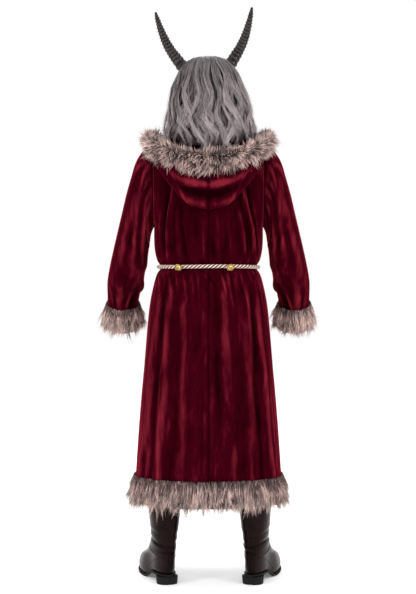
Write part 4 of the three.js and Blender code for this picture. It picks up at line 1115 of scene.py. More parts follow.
def band_roots(points: Array, out: Array, along: Array, level: Array, *, stand: float,
               arch: tuple[float, float], long: float, above: float) -> Array:
    """Where the strands of a fur band start.

    Args:
        points: A point of the cloth's edge for each strand.
        out: The direction off the cloth at each of these points.
        along: The direction that the band hangs in.
        level: How far down the band each strand starts, from 0 to 1.
        stand: How far the roots stand off the cloth.
        arch: Where the swell starts and how much of a half turn it runs through.
        long: How far the roots reach down.
        above: How far above the cloth's edge the first ones start.

    Returns:
        One point for each strand.
    """
    swell = stand * np.sin(np.pi * np.clip(arch[0] + level * arch[1], 0, 1)) ** 0.7
    return points + out * swell[:, None] + along * (level * long - above)[:, None]


def lock_of(first: Array, second: Array, locks: tuple[int, int]) -> Array:
    """The number of the lock that each strand belongs to, from its two shares of the surface."""
    return (np.floor(first * locks[0]) * locks[1] + np.floor(second * locks[1])).astype(int)


@dataclass
class HemBand:
    """The fur band that hangs from the robe's hem."""

    robe: Robe
    tall: float = 105
    count: int = 14600
    locks: tuple[int, int] = (150, 5)
    pile: tuple[float, float] = (58.0, 50.0)
    tone: tuple[float, float] = (0.40, 0.32)
    seed: int = 11

    def ring(self, turn: Array) -> tuple[Array, Array]:
        """Points of the hem and the directions out of it, for turns from 0 to 4."""
        face = np.where((turn <= 1) | (turn > 3), 1, -1)
        across = np.where(turn <= 1, turn, np.where(turn <= 3, 2 - turn, turn - 4))
        z = np.full(turn.shape, HEM_Z)
        behind, before = (self.robe.body_point(f, across, z) for f in (1, -1))
        points = np.where((face > 0)[:, None], behind, before)
        side, depth = self.robe.body.at("side", HEM_Z), self.robe.body.at("back", HEM_Z)
        out = unit(np.stack([points[:, 0] / side**2, points[:, 1] / depth**2, 0 * turn], axis=1))
        return points, out

    def build(self, wardrobe: Wardrobe) -> None:
        """Makes the backing and its pile."""
        turn = np.linspace(0, 4, 241)[:-1]
        points, out = self.ring(turn)
        rows = band_backing(points, out, -UP, rows=14, bulge=14, arch=0.83, long=self.tall - 20)
        # the backing is dark all over: painted shade among the strands' roots
        backing = walled(laid("hem_fur_backing", rows, ring=True, turn=False, shade=np.zeros(rows.shape[:2])), 3.0)
        wardrobe.dress(backing, "fur", "hem_fur")
        rng = np.random.default_rng(self.seed)
        place = rng.uniform(0, 4, self.count)
        level = rng.uniform(0, 1, self.count) ** 1.15
        points, out = self.ring(place)
        root = band_roots(points, out, -UP, level, stand=13, arch=(0.08, 0.75), long=self.tall - 38, above=12)
        flow = np.tile(-UP, (self.count, 1))
        length = mix(*self.pile, level) * rng.uniform(0.75, 1.15, self.count)
        piece = Coat().grow("hem_fur_pile", root, out, flow, length, lock_of(place / 4, level, self.locks),
                            self.seed + 1, tone=mix(*self.tone, level))
        wardrobe.dress(piece, "fur", "hem_fur")


@dataclass
class Cuff:
    """The fur at the end of a sleeve."""

    sleeve: Sleeve
    tall: float = 106
    count: int = 5200
    locks: tuple[int, int] = (40, 5)
    pile: tuple[float, float] = (56.0, 48.0)
    tone: tuple[float, float] = (0.60, 0.42)

    def build(self, wardrobe: Wardrobe) -> None:
        """Makes both cuffs."""
        end = self.sleeve.last
        along, middle = self.sleeve.along(end), self.sleeve.axes(end)[0]

        def ring(degrees: Array) -> tuple[Array, Array]:
            """Points round the sleeve's end and the directions out of it."""
            points = self.sleeve.ring(np.full(degrees.shape, end), degrees)
            off = points - middle
            return points, unit(off - (off @ along)[:, None] * along)

        for side in Side:
            points, out = ring(np.arange(0, 360, 5.0))
            rows = band_backing(points, out, along, rows=12, bulge=13, arch=0.8, long=self.tall - 24)
            # the backing is dark all over: painted shade among the strands' roots
            backing = laid(f"cuff_fur_{side.word}_backing", rows * side.mirror, ring=True, turn=side.value > 0,
                           shade=np.zeros(rows.shape[:2]))
            wardrobe.dress(walled(backing, 3.0), "fur", f"cuff_fur_{side.word}")
            rng = np.random.default_rng(30 + side.value)
            place = rng.uniform(0, 360, self.count)
            level = rng.uniform(0, 1, self.count)
            points, out = ring(place)
            root = band_roots(points, out, along, level, stand=12, arch=(0.1, 0.7), long=self.tall - 50, above=15)
            flow = np.tile(along, (self.count, 1))
            piece = Coat().grow(
                f"cuff_fur_{side.word}_pile", root * side.mirror, out * side.mirror, flow * side.mirror,
                mix(*self.pile, level), lock_of(place / 360, level, self.locks), 40 + side.value,
                tone=mix(*self.tone, level))
            wardrobe.dress(piece, "fur", f"cuff_fur_{side.word}")


@dataclass
class HoodTrim:
    """The thick fur on the hood's free edge, parted in the middle of the back."""

    hood: Hood
    count: int = 9000
    locks: tuple[int, int] = (34, 9)
    pile: tuple[float, float] = (31.0, 25.0)
    tone: float = 0.33

    def frame_at(self, turn: Array) -> tuple[Array, Array, Array, Array, Array]:
        """The edge's points, the fur's tall and thick directions, and its half sizes."""
        at = self.hood.table.at
        edge = np.stack([np.maximum(at("edge_x", turn), SEAM / 2), at("edge_y", turn), at("edge_z", turn)], axis=-1)
        ahead, behind = np.minimum(turn + 3, self.hood.end), np.maximum(turn - 3, 0)
        along = np.stack([at(f"edge_{k}", ahead) - at(f"edge_{k}", behind) for k in "xyz"], axis=-1)
        along[turn < 3] = [1, 0, 0]
        out = unit(np.stack([-along[..., 1], along[..., 0], 0 * turn], axis=-1))
        lean = np.radians(at("lean", turn))[..., None]
        tall = out * np.sin(lean) + UP * np.cos(lean)
        thick = out * np.cos(lean) - UP * np.sin(lean)
        return edge, tall, thick, at("tall", turn)[..., None], at("thick", turn)[..., None]

    def build(self, wardrobe: Wardrobe) -> None:
        """Makes the soft core and the pile of both halves."""
        end = self.hood.end
        for side in Side:
            turn = np.linspace(1, end - 1, 64)
            edge, tall, thick, half_tall, half_thick = self.frame_at(turn)
            angle = np.radians(np.arange(0, 360, 15.0))[None, :, None]
            close = np.minimum(1, np.minimum(turn / 4 + 0.6, (end - turn) / 6 + 0.4))[:, None, None]
            rows = edge[:, None] + close * (tall[:, None] * half_tall[:, None] * 0.5 * np.cos(angle)
                                            + thick[:, None] * half_thick[:, None] * 0.6 * np.sin(angle))
            rows[..., 0] = np.maximum(rows[..., 0], SEAM / 2)
            # the core is dark all over: painted shade inside the fur
            core = laid(f"hood_fur_{side.word}_backing", rows * side.mirror, ring=True, caps=True,
                        shade=np.zeros(rows.shape[:2]))
            wardrobe.dress(core, "fur", f"hood_fur_{side.word}")
            rng = np.random.default_rng(50 + side.value)
            place = np.clip(rng.uniform(-4, 177.5, self.count), 0.5, None)
            round_ = rng.uniform(0, 360, self.count)
            edge, tall, thick, half_tall, half_thick = self.frame_at(place)
            around = np.radians(round_)[:, None]
            radial = unit(tall * np.cos(around) * half_thick + thick * np.sin(around) * half_tall)
            rise = np.where(np.cos(around) > 0, 0.34, 0.55)
            root = edge + tall * half_tall * rise * np.cos(around) + thick * half_thick * 0.5 * np.sin(around)
            root[:, 0] = np.maximum(root[:, 0], 1.0)
            parting = 0.4 * smooth(place / 16) * smooth((110 - place) / 40)
            comb = rng.normal(0, 0.3, (self.count, 3)) + np.cross(thick, tall) * parting[:, None]
            upper = np.clip(np.cos(around) * 1.2, 0, 1)
            flow = unit(radial * (0.55 + 0.5 * upper) - UP * (0.62 - 0.55 * upper) + comb)
            length = mix(*self.pile, smooth(np.cos(around[:, 0]) * 0.7 + 0.5))
            piece = Coat().grow(
                f"hood_fur_{side.word}_pile", root * side.mirror, radial * side.mirror, flow * side.mirror, length,
                lock_of(place / end, round_ / 360, self.locks), 60 + side.value,
                tone=self.tone, lift=0.36, droop=0.10, spread=0.22)
            wardrobe.dress(piece, "fur", f"hood_fur_{side.word}")


# Rope belt and bells


def frames_along(line: Array) -> tuple[Array, Array]:
    """Two directions square to a line at each of its points, without twist."""
    tangent = unit(np.gradient(line, axis=0))
    normal = np.zeros_like(line)
    normal[0] = unit(np.cross(tangent[0], [0.3, 0.2, 1.0] if abs(tangent[0][2]) < 0.8 else [1.0, 0.2, 0.1]))
    for i in range(1, len(line)):
        normal[i] = unit(normal[i - 1] - tangent[i] * (normal[i - 1] @ tangent[i]))
    return normal, np.cross(tangent, normal)


def tube(line: Array, normal: Array, binormal: Array, angle: Array,
         radius: Array | float) -> Array:
    """Rings of points round a line.

    Args:
        line: The middle line.
        normal: One direction square to the line at each of its points.
        binormal: The other direction.
        angle: The angles, in one row for all rings or one row for each.
        radius: One radius, or one for each point.

    Returns:
        Rows by columns of points.
    """
    angle = angle[..., None]
    ring = normal[:, None] * np.cos(angle) + binormal[:, None] * np.sin(angle)
    return line[:, None] + np.asarray(radius)[..., None] * ring


@dataclass
class Rope:
    """A rope of three twisted strands."""

    radius: float = 6.6
    lay: float = 43.0
    strands: int = 3
    sides: int = 18

    def around(self, name: str, line: Array) -> Piece:
        """Sweeps the rope along a line.

        Args:
            name: The piece's name.
            line: The rope's middle line, in millimetres.

        Returns:
            The new piece.
        """
        step = np.linalg.norm(np.diff(line, axis=0), axis=1)
        run = np.concatenate([[0], np.cumsum(step)])
        even = np.linspace(0, run[-1], max(8, int(run[-1] / 2.0)))
        line = np.stack([np.interp(even, run, line[:, k]) for k in range(3)], axis=1)
        normal, binormal = frames_along(line)
        angle = round_angles(self.sides)[None, :]
        # crown is high on the strands and low in the grooves; the rope's finish turns it into painted shade in the
        # grooves
        crown = np.repeat(np.abs(np.sin(angle * self.strands / 2)), len(even), axis=0)
        angle = angle - even[:, None] / self.lay * 2 * np.pi
        points = tube(line, normal, binormal, angle, self.radius * (0.55 + 0.45 * crown**0.7))
        return laid(name, points, ring=True, caps=True, shade=crown)


@dataclass
class Belt:
    """The rope belt with its knot, its two hanging ends and two bells."""

    robe: Robe
    rope: Rope = field(default_factory=Rope)
    away: float = 8.2
    knot_turn: float = 8.2
    knot_off: float = 17.0
    drop: float = 11.0
    apart: float = 7.4
    swing: float = 14.0
    long: float = 330.0
    bell_radius: float = 12.0
    bell_x: tuple[float, float] = (93, -67)
    bell_dip: float = 14.0
    bell_sink: float = 0.28
    slot: float = 1.25
    end_knot: float = 10.2
    waist_knot: float = 19.0

    def point(self, degrees: float, away: float) -> Array:
        """A point round the waist at some distance off the robe."""
        turn = math.radians(degrees)
        side = float(self.robe.body.at("side", WAIST_Z))
        depth = float(self.robe.body.at("back" if math.cos(turn) >= 0 else "front", WAIST_Z))
        power = 2 / self.robe.ring_power
        x = side * math.copysign(abs(math.sin(turn)) ** power, math.sin(turn))
        y = depth * math.copysign(abs(math.cos(turn)) ** power, math.cos(turn))
        return np.array([x, y, WAIST_Z]) + unit(np.array([x / side**2, y / depth**2, 0.0])) * away

    def end_line(self, side: Side) -> Array:
        """The middle line of one hanging end."""
        knot = self.point(180, self.knot_off)
        start = np.array([side.value * self.apart, knot[1], WAIST_Z - self.drop])
        points = [start, start - [0, 0, 7]]
        for share in np.arange(0.1, 0.99, 0.1):
            z = start[2] - self.long * share
            x = side.value * (self.apart + self.swing * float(smooth(np.array(share * 1.4))))
            y = -float(self.robe.body.at("front", z)) - self.rope.radius - 7
            points.append(np.array([x, min(start[1], y), z]))
        points.append(points[-1] - [0, 0, 7])
        return curve_through(np.array(points), np.linspace(0, 1, 60))

    def build_ends(self, wardrobe: Wardrobe) -> None:
        """Makes the two free ends, each with its knot."""
        for side in Side:
            line = self.end_line(side)
            cord = self.rope.around(f"belt_end_{side.word}_rope", line)
            knot = self.tied(f"belt_end_{side.word}_knot", line[-1] - [0, 0, 5], self.end_knot)
            wardrobe.dress(cord, "rope", f"belt_end_{side.word}")
            wardrobe.dress(knot, "rope", f"belt_end_{side.word}")

    def tied(self, name: str, middle: Array, size: float) -> Piece:
        """A tight overhand knot: the rope on a small closed loop that passes over itself."""
        t = np.linspace(0, 2 * np.pi, 90)
        x = (np.sin(t) + 2 * np.sin(2 * t)) / 3
        y = -np.sin(3 * t) * 0.8
        z = (np.cos(t) - 2 * np.cos(2 * t)) / 3
        thin = Rope(radius=self.rope.radius * 0.72 * size / 12, lay=26.0)
        line = middle + stack(x, y * 0.55, z) * (size - thin.radius)
        return thin.around(name, line)

    def build_bell(self, wardrobe: Wardrobe, side: Side) -> None:
        """Makes one jingle bell, its slots and the band round its middle."""
        x = self.bell_x[0 if side is Side.LEFT else 1]
        half = float(self.robe.body.at("side", WAIST_Z))
        degrees = math.degrees(math.asin(math.copysign((abs(x) / half) ** (self.robe.ring_power / 2), x)))
        rope = self.point(degrees, self.away)
        out = unit(self.point(degrees, 100) - rope)
        reach, dip = self.rope.radius + self.bell_radius - self.bell_sink, math.radians(self.bell_dip)
        middle = rope + out * reach * math.cos(dip) - np.array([0, 0, reach * math.sin(dip)])
        facing = Vector(unit(out - [0, 0, 0.5]))
        turn = Vector((0, -1, 0)).rotation_difference(facing).to_matrix()
        work = bmesh.new()
        bmesh.ops.create_uvsphere(work, u_segments=48, v_segments=32, radius=self.bell_radius * MM)
        slot = self.slot * MM
        gone = [face for face in work.faces
                if (abs(face.calc_center_median().x) < slot or abs(face.calc_center_median().z) < slot)
                and face.calc_center_median().y < -0.25 * self.bell_radius * MM]
        bmesh.ops.delete(work, geom=gone, context="FACES")
        bmesh.ops.recalc_face_normals(work, faces=work.faces[:])
        if sum(face.normal.dot(face.calc_center_median()) for face in work.faces) < 0:
            bmesh.ops.reverse_faces(work, faces=work.faces[:])
        bmesh.ops.rotate(work, verts=work.verts, cent=(0, 0, 0), matrix=turn)
        bmesh.ops.translate(work, verts=work.verts, vec=Vector(middle * MM))
        ball = walled(finished(f"belt_bell_{side.word}_ball", work), 1.0)
        wardrobe.dress(ball, "brass", f"belt_bell_{side.word}")
        angle = np.radians(np.arange(0, 360, 6.0))
        ring = unit(np.cross(np.array(facing), [0, 0, 1.0]))
        other = np.cross(np.array(facing), ring)
        circle = ring[None] * np.cos(angle)[:, None] + other[None] * np.sin(angle)[:, None]
        band = middle + circle * self.bell_radius
        rim = np.stack([band + (band - middle) * a + np.array(facing) * b
                        for a, b in ((0.0, -0.9), (0.07, -0.7), (0.07, 0.7), (0.0, 0.9))])
        hoop = laid(f"belt_bell_{side.word}_band", rim, ring=True)
        wardrobe.dress(walled(hoop, 0.8), "brass", f"belt_bell_{side.word}")

    def build(self, wardrobe: Wardrobe) -> None:
        """Makes the rope round the waist, its knot and the bells."""
        turns = np.linspace(180 + self.knot_turn, 540 - self.knot_turn, 240)
        line = np.array([self.point(float(turn), self.away) for turn in turns])
        line[:, 2] += 1.6 * np.sin(np.radians(turns * 3)) * np.sin(np.radians(turns) / 2 + 0.6)
        wardrobe.dress(self.rope.around("belt_rope_twist", line), "rope", "belt_rope")
        knot = self.tied("belt_knot_twist", self.point(180, self.knot_off), self.waist_knot)
        wardrobe.dress(knot, "rope", "belt_knot")
        for side in Side:
            self.build_bell(wardrobe, side)


# Wig and horns


@dataclass
class Wig:
    """The long wig, leaning a little to the left."""

    lean: float = 2.9
    pivot: tuple[float, float] = (-8, -8)
    sizes: Profile = field(default_factory=lambda: Profile(
        "z",
        z=[324, 318, 300, 272, 238, 190, 140, 95, 50, 10, -40],
        side=[0, 46, 78, 99, 114, 129, 141, 146, 146, 134, 116],
        back=[0, 50, 84, 106, 118, 127, 134, 140, 150, 158, 168],
        front=[0, 46, 76, 95, 104, 106, 108, 110, 112, 112, 112],
    ))
    ends: Profile = field(default_factory=lambda: Profile(
        "turn",
        turn=[0, 28, 50, 70, 110, 128, 136, 146, 180],
        z=[-36, -26, -4, 0, 8, 44, 160, 250, 266],
    ))
    crown: float = 324
    count: int = 4150
    locks: int = 118
    tresses: int = 4
    strays: float = 0.07
    waves: tuple[float, float] = (2.2, 3.6)
    swing: tuple[float, float] = (2.8, 6.6)
    thick: tuple[float, float] = (0.8, 1.3)
    tone: tuple[float, float] = (0.62, 0.36)
    flare: float = 13.0
    layer: float = 2.4
    roll: float = 3.4
    cap_depth: float = 16.0
    cap_share: float = 0.935
    steps: int = 10

    def leaned(self, points: Array) -> Array:
        """The points turned with the head."""
        angle = math.radians(self.lean)
        x, y, z = points[..., 0], points[..., 1], points[..., 2]
        return stack(x * math.cos(angle) + z * math.sin(angle) + self.pivot[0], y + self.pivot[1],
                     -x * math.sin(angle) + z * math.cos(angle))

    def surface(self, degrees: Array, share: Array, depth: Array) -> Array:
        """Points of the hair.

        Args:
            degrees: The turn round the head, 0 behind.
            share: How far down the hair, from 0 at the crown to 1 at its ends.
            depth: How far under the outer skin.

        Returns:
            The points.
        """
        turn = np.abs((degrees + 180) % 360 - 180)
        z = mix(self.crown, self.ends.at("z", turn), np.clip(share, 0, 1.2) ** 1.35)
        side = np.maximum(self.sizes.at("side", z) - depth, 1.0)
        angle = np.radians(degrees)
        reach = np.where(np.cos(angle) > 0, self.sizes.at("back", z), self.sizes.at("front", z))
        reach = np.maximum(reach - depth, 1.0)
        drop = np.where(share < 0.25, depth * (1 - share * 4) * 0.8, 0)
        return self.leaned(stack(side * np.sin(angle), reach * np.cos(angle), z - drop))

    def build(self, wardrobe: Wardrobe) -> None:
        """Makes the cap and the hair in three pieces."""
        degrees = (np.arange(96) * 3.75)[None, :]
        around = np.abs((degrees + 180) % 360 - 180)
        share = mix(self.cap_share, 1.0, smooth((around - 35) / 20)) * np.linspace(0.0, 1.0, 36)[:, None] ** 0.8
        grid = np.broadcast_arrays(degrees, share)
        points = self.surface(grid[0], grid[1], np.full(grid[0].shape, self.cap_depth))
        # the cap is dark all over: painted shade in the gaps between the locks
        cap = laid("wig_cap", points, ring=True, shade=np.full(points.shape[:2], 0.0))
        wardrobe.dress(walled(cap, 3.0), "hair", "wig")
        rng = np.random.default_rng(7)
        locks, tresses = self.locks, self.tresses
        home = (np.arange(locks) * GOLDEN_ANGLE + rng.normal(0, 4, locks)) % 360
        level = rng.permutation(np.linspace(-8, 12, locks))
        lock = np.arange(self.count) % locks
        tress = rng.integers(0, tresses, self.count)
        across = (tress - 1.5) * 0.36 + rng.normal(0, 0.13, self.count)
        tress = tress + tresses * lock
        deep = rng.normal(0, 0.5, tresses * locks)[tress] + rng.normal(0, 0.2, self.count)
        stray = np.where(rng.uniform(0, 1, self.count) < self.strays, rng.uniform(3, 13, self.count), 0.0)
        first = rng.uniform(0.01, 0.22, self.count)
        stop = np.clip(rng.normal(0.96, 0.055, locks)[lock] + rng.normal(0, 0.018, self.count), 0.78, 1.04)
        phase = rng.uniform(0, 2 * np.pi, locks)[lock] + rng.normal(0, 0.22, self.count)
        waves = rng.uniform(*self.waves, locks)[lock]
        swing = rng.uniform(*self.swing, locks)[lock]
        thick = rng.uniform(*self.thick, locks)[lock]
        paths = []
        for k in range(self.steps):
            t = first + (stop - first) * k / (self.steps - 1)
            grown = smooth(t * 1.5)
            turned = t * waves * 2 * np.pi + phase
            size = thick * mix(12.0, 4.4, smooth(t)) * 0.42
            curl = grown * (1 + 0.8 * smooth((t - 0.5) / 0.35))
            place = home[lock] + (across * size + swing * np.sin(turned) * curl) * mix(1.9, 1.0, smooth(t * 3))
            depth = level[lock] * grown - stray * t - self.flare * smooth((t - 0.7) / 0.3) + deep * self.layer
            depth += self.roll * np.cos(turned) * curl
            paths.append(self.surface(place, t, np.clip(depth, -24, 15)))
        line = np.stack(paths, axis=1)
        middle = self.leaned(np.array([0.0, 0.0, 150.0]))
        out = unit(line[:, self.steps // 2] - middle)
        taper = np.linspace(1, 0.5, self.steps - 1)[None, :]
        radius = rng.uniform(0.6, 1.3, self.count)[:, None] * taper
        shade = rng.normal(*self.tone, tresses * locks)[tress] + rng.normal(0, 0.12, self.count)
        # painted shade: deeper locks darker, and the deepest ones much darker, as shade between the layers
        shade = np.clip(shade - level[lock] * 0.03 - 0.25 * (level[lock] > 4), 0, 1)
        own = home[lock]
        turn = np.abs((own + 180) % 360 - 180)
        parts = {"behind": turn < 50, "left": (turn >= 50) & (own < 180), "right": (turn >= 50) & (own >= 180)}
        for word, chosen in parts.items():
            piece = strands(f"wig_hair_{word}", line[chosen], radius[chosen], out[chosen], shade[chosen], 0.6)
            wardrobe.dress(piece, "hair", "wig")


@dataclass
class Horn:
    """A ringed horn that curves up and out."""

    wig: Wig
    line: Profile = field(default_factory=lambda: Profile(
        "row",
        row=[0, 1, 2, 3, 4, 5, 6, 7],
        out=[74, 103, 122, 137, 148, 157.5, 165, 169.5],
        up=[286, 327, 355, 383, 411, 440, 468, 489],
        back=[-30, -22, -15, -8, -1, 6, 12, 16],
        radius=[22, 19.5, 17.2, 15.4, 13, 10.2, 7.2, 3.4],
    ))
    rings: int = 19
    ridge: float = 2.3

    def build(self, wardrobe: Wardrobe) -> None:
        """Makes both horns."""
        share = np.concatenate([np.linspace(0, 0.985, 152), [0.993, 0.998, 1.0]])
        row = share * self.line.key[-1]
        for side in Side:
            middle = self.wig.leaned(stack(side.value * self.line.at("out", row), self.line.at("back", row),
                                           self.line.at("up", row)))
            along = unit(np.gradient(middle, axis=0))
            across = unit(np.cross([0, 1.0, 0], along))
            back = np.cross(along, across)
            angle = round_angles(24)[None, :]
            wave = (0.5 + 0.5 * np.cos(2 * np.pi * (self.rings * share - 1 / 3)))[:, None]
            crest = wave**1.3 * (1 + 0.25 * np.sin(angle * 2 + share[:, None] * 40))
            fade = smooth((1 - share) * 7)[:, None]
            size = (self.line.at("radius", row) * np.sqrt(np.clip((1.004 - share) * 60, 0, 1)))[:, None]
            radius = size + (self.ridge * crest - 0.5) * fade
            points = tube(middle, across, back * 0.92, angle, radius)
            # the map carries the crests: painted highlight on them and painted shade in the grooves
            piece = laid(f"horn_{side.word}_ringed", points, ring=True, caps=True,
                         shade=np.clip(crest * fade, 0, 1))
            wardrobe.dress(piece, "horn", f"horn_{side.word}")


# Boots


@dataclass
class Boot:
    """A tall plain boot on a stacked heel."""

    sizes: Profile = field(default_factory=lambda: Profile(
        "rise",
        rise=[0, 14, 30, 46, 58, 72, 92, 118, 150, 195, 245, 300],
        heel=[-36, -41, -43, -43, -42, -41, -39, -38, -42, -48, -53, -57],
        toe=[250, 256, 252, 230, 192, 152, 118, 98, 92, 92, 94, 96],
        half=[43, 47, 46, 44, 42, 41, 41, 42, 46, 51, 54, 56],
        egg=[0.14, 0.13, 0.11, 0.08, 0.05, 0.02, 0, 0, 0, 0, 0, 0],
    ))
    leather: float = 3.2
    thick: float = 8
    heel_height: float = 27
    spring: float = 7
    place: tuple = ((148, 18), (-158, 18))
    turn_out: float = 19
    sides: int = 48
    shaft: float = 300
    creases: tuple = ((84, -2.4), (98, 1.6), (112, -2.8), (127, 1.8), (143, -2.0), (160, 1.2))
    heel_size: tuple = (-42, 30, 38, -0.06)
    # the sole's edge: how far under its top, how far out
    welt_layers: tuple = ((8.0, 0.0), (8.0, 5.0), (6.5, 6.4), (1.6, 8.0), (0.4, 7.4), (0.0, 6.0), (0.0, 0.0))
    # the heel's edge: the share of its height, how far out
    heel_layers: tuple = (
        (0.0, -4.0), (0.0, -2.4), (0.05, -2.0), (0.3, -1.4), (0.33, -1.9), (0.36, -1.2), (0.62, -0.7),
        (0.65, -1.2), (0.68, -0.5), (1.0, 0.0), (1.0, -3.0),
    )

    def sole_top(self, along: Array) -> Array:
        """The sole's upper face above the floor."""
        arch = 1 - smooth((along - 46) / 68)
        return self.thick + self.heel_height * arch + self.spring * smooth((along - 170) / 90)

    def outline(self, heel: float, toe: float, half: float, egg: float, grow: float = 0.0) -> Array:
        """An outline of the foot as along and across, and the place along before it grew."""
        a = round_angles(self.sides)
        along = (heel + toe) / 2 + (toe - heel) / 2 * signed_power(np.cos(a), 0.94)
        waist = 1 - (0.16 * hill((along - 70) / 75) if egg > 0.04 else 0)
        across = half * waist * (1 + egg * np.cos(a)) * signed_power(np.sin(a), 0.86)
        return np.stack([along + grow * np.cos(a), across + grow * np.sin(a), along], axis=1)

    def placed(self, points: Array, side: Side) -> Array:
        """Points along, across and above the floor, put where the boot stands."""
        x, y = self.place[0 if side is Side.LEFT else 1]
        turn = -math.pi / 2 + side.value * math.radians(self.turn_out)
        along, across = points[..., 0], points[..., 1]
        return stack(x + along * math.cos(turn) - across * math.sin(turn),
                     y + along * math.sin(turn) + across * math.cos(turn), FLOOR_Z + points[..., 2])

    def skin(self, rises: Array) -> Array:
        """Rings of the upper's outer skin."""
        level = self.thick + self.heel_height
        rings = []
        for rise in rises:
            size = [float(self.sizes.at(name, rise)) for name in ("heel", "toe", "half", "egg")]
            ring = self.outline(*size)
            a = round_angles(self.sides)
            crease = 0.0
            for middle, deep in self.creases:
                slant = middle + 9 * np.cos(a) + 4 * np.sin(2 * a + middle)
                crease = crease + deep * hill((rise - slant) / 9) * (0.55 + 0.45 * np.sin(a * 2 + middle))
            base = mix(self.sole_top(ring[:, 2]), level, smooth(np.array(rise / 110)))
            points = stack(ring[:, 0] + crease * np.cos(a), ring[:, 1] + crease * np.sin(a), base + SEAM + rise)
            rings.append(points)
        return np.array(rings)

    def build_seams(self, wardrobe: Wardrobe, side: Side) -> None:
        """Makes the raised seams up the back, round the heel counter and over the instep."""
        fine = self.skin(np.linspace(4, self.shaft - 2, 99))
        ring = np.arange(self.sides)
        heel_side = ring[np.abs(ring - self.sides // 2) <= self.sides // 4]
        across = np.abs(heel_side - self.sides // 2) / (self.sides / 4)
        counter = fine[(20 - 15 * across**2).astype(int), heel_side]
        instep = fine[(24 + 8 * np.cos(round_angles(self.sides))).astype(int), ring]
        for word, line, radius in (("back", fine[:, self.sides // 2], 1.5), ("counter", counter, 1.1),
                                   ("instep", np.vstack([instep, instep[:1]]), 1.1)):
            points = tube(line, *frames_along(line), round_angles(6)[None, :], radius)
            seam = laid(f"boot_upper_{side.word}_{word}_seam", self.placed(points, side), ring=True, caps=True)
            wardrobe.dress(seam, "leather", f"boot_upper_{side.word}")

    def build(self, wardrobe: Wardrobe) -> None:
        """Makes both boots."""
        for side in Side:
            rises = np.linspace(0, self.shaft, 84)
            upper = laid(f"boot_upper_{side.word}_leather", self.placed(self.skin(rises), side), ring=True)
            wardrobe.dress(walled(upper, self.leather), "leather", f"boot_upper_{side.word}")
            self.build_seams(wardrobe, side)
            base = [float(self.sizes.at(name, 0)) for name in ("heel", "toe", "half", "egg")]
            layers = []
            for drop, grow in self.welt_layers:
                ring = self.outline(*base, grow)
                layers.append(np.stack([ring[:, 0], ring[:, 1], self.sole_top(ring[:, 2]) - drop], axis=1))
            welt = laid(f"boot_sole_{side.word}_welt", self.placed(np.array(layers), side), ring=True, caps=True)
            wardrobe.dress(welt, "sole", f"boot_sole_{side.word}")
            heel = []
            top = self.sole_top(np.array(-6.0)) - self.thick - SEAM
            for share, grow in self.heel_layers:
                ring = self.outline(*self.heel_size, grow)
                heel.append(np.stack([ring[:, 0], ring[:, 1], np.full(self.sides, float(top) * share)], axis=1))
            block = laid(f"boot_heel_{side.word}_block", self.placed(np.array(heel), side), ring=True, caps=True)
            wardrobe.dress(block, "sole", f"boot_heel_{side.word}")


# Stage


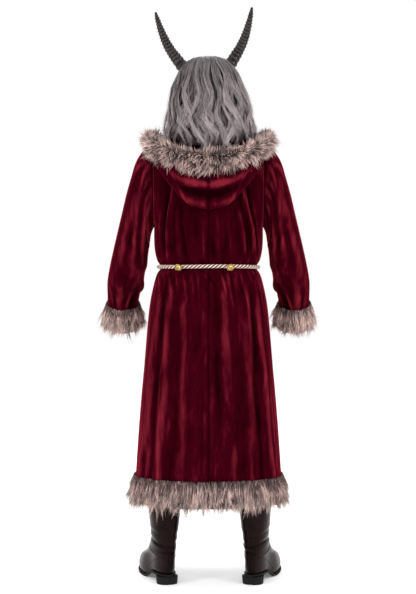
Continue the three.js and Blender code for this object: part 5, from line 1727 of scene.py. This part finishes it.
@dataclass
class Studio:
    """A white studio seen at the photograph's angle."""

    distance: float = 4.2
    height: float = -0.5205
    frame_height: float = 2.089
    sensor: float = 36.0
    # the name, place, power and size of each light
    lamps: tuple = (
        ("left", (3.2, 2.4, 1.0), 62, 1.0), ("right", (-3.2, 2.4, 1.0), 62, 1.0),
        ("front", (0.6, 4.6, 1.8), 24, 1.4), ("far side", (0.6, -3.6, 1.4), 40, 2.0),
    )

    def camera(self) -> None:
        """Places the camera behind the costume, level and square to it."""
        lens = bpy.data.cameras.new("camera")
        lens.sensor_width = self.sensor
        lens.lens = self.sensor * self.distance / self.frame_height
        made = linked("camera", lens)
        made.location = (0.0018, self.distance, self.height)
        made.rotation_euler = (math.pi / 2, 0, math.pi)
        bpy.context.scene.camera = made

    def light(self, name: str, place: tuple, power: float, size: float) -> None:
        """Adds a soft light that points at the robe."""
        lamp = bpy.data.lights.new(name, "AREA")
        lamp.energy = power
        lamp.size = size
        made = linked(name, lamp)
        made.location = place
        aim = Vector((0, 0, -0.5)) - Vector(place)
        made.rotation_euler = aim.to_track_quat("-Z", "Y").to_euler()

    def build(self) -> None:
        """Makes the floor, the lights and the pale surroundings."""
        work = bmesh.new()
        bmesh.ops.create_grid(work, x_segments=1, y_segments=1, size=14.0)
        bmesh.ops.translate(work, verts=work.verts, vec=(0, 0, FLOOR_Z * MM))
        floor = finished("floor", work)
        finish = Finish("floor")
        speck = finish.node("TexNoise", Vector=finish.objects(), Scale=3.0).outputs["Fac"]
        colour = finish.ramp(speck, (0.3, (0.94, 0.94, 0.94)), (0.7, (0.97, 0.97, 0.97)))
        finish.set(Base_Color=colour, Roughness=0.9, Emission_Color=(1, 1, 1, 1), Emission_Strength=0.16)
        floor.data.materials.append(finish.material)
        for lamp in self.lamps:
            self.light(*lamp)
        bpy.context.scene.world = self.surroundings()
        bpy.context.scene.view_settings.view_transform = "Standard"

    def surroundings(self) -> bpy.types.World:
        """A white backdrop whose light comes mostly from overhead."""
        world = bpy.data.worlds.new("studio")
        world.use_nodes = True
        graph = Graph(world.node_tree)
        up = graph.node("SeparateXYZ", {0: graph.node("TexCoord").outputs["Generated"]}).outputs["Z"]
        rise = graph.node("MapRange", Value=up, From_Min=0.2, From_Max=0.7, To_Min=0.22, To_Max=1.35)
        seen = graph.node("LightPath").outputs["Is Camera Ray"]
        blend = graph.node("Mix", {0: seen, 2: rise.outputs["Result"], 3: 1.0})
        background = graph.tree.nodes["Background"].inputs
        graph.feed(background["Color"], (1, 1, 1, 1))
        graph.feed(background["Strength"], blend.outputs[0])
        return world


def main() -> None:
    """Builds the costume in order."""
    studio = Studio()
    studio.camera()
    wardrobe = Wardrobe()
    robe = Robe()
    belt = Belt(robe)
    belt.build_ends(wardrobe)
    robe.build(wardrobe)
    sleeve, hood, wig = Sleeve(), Hood(robe), Wig()
    for part in (sleeve, hood, HemBand(robe), Cuff(sleeve), HoodTrim(hood), belt, wig, Horn(wig), Boot()):
        part.build(wardrobe)
    studio.build()


if __name__ == "__main__":
    logging.basicConfig(level=logging.INFO)
    main()
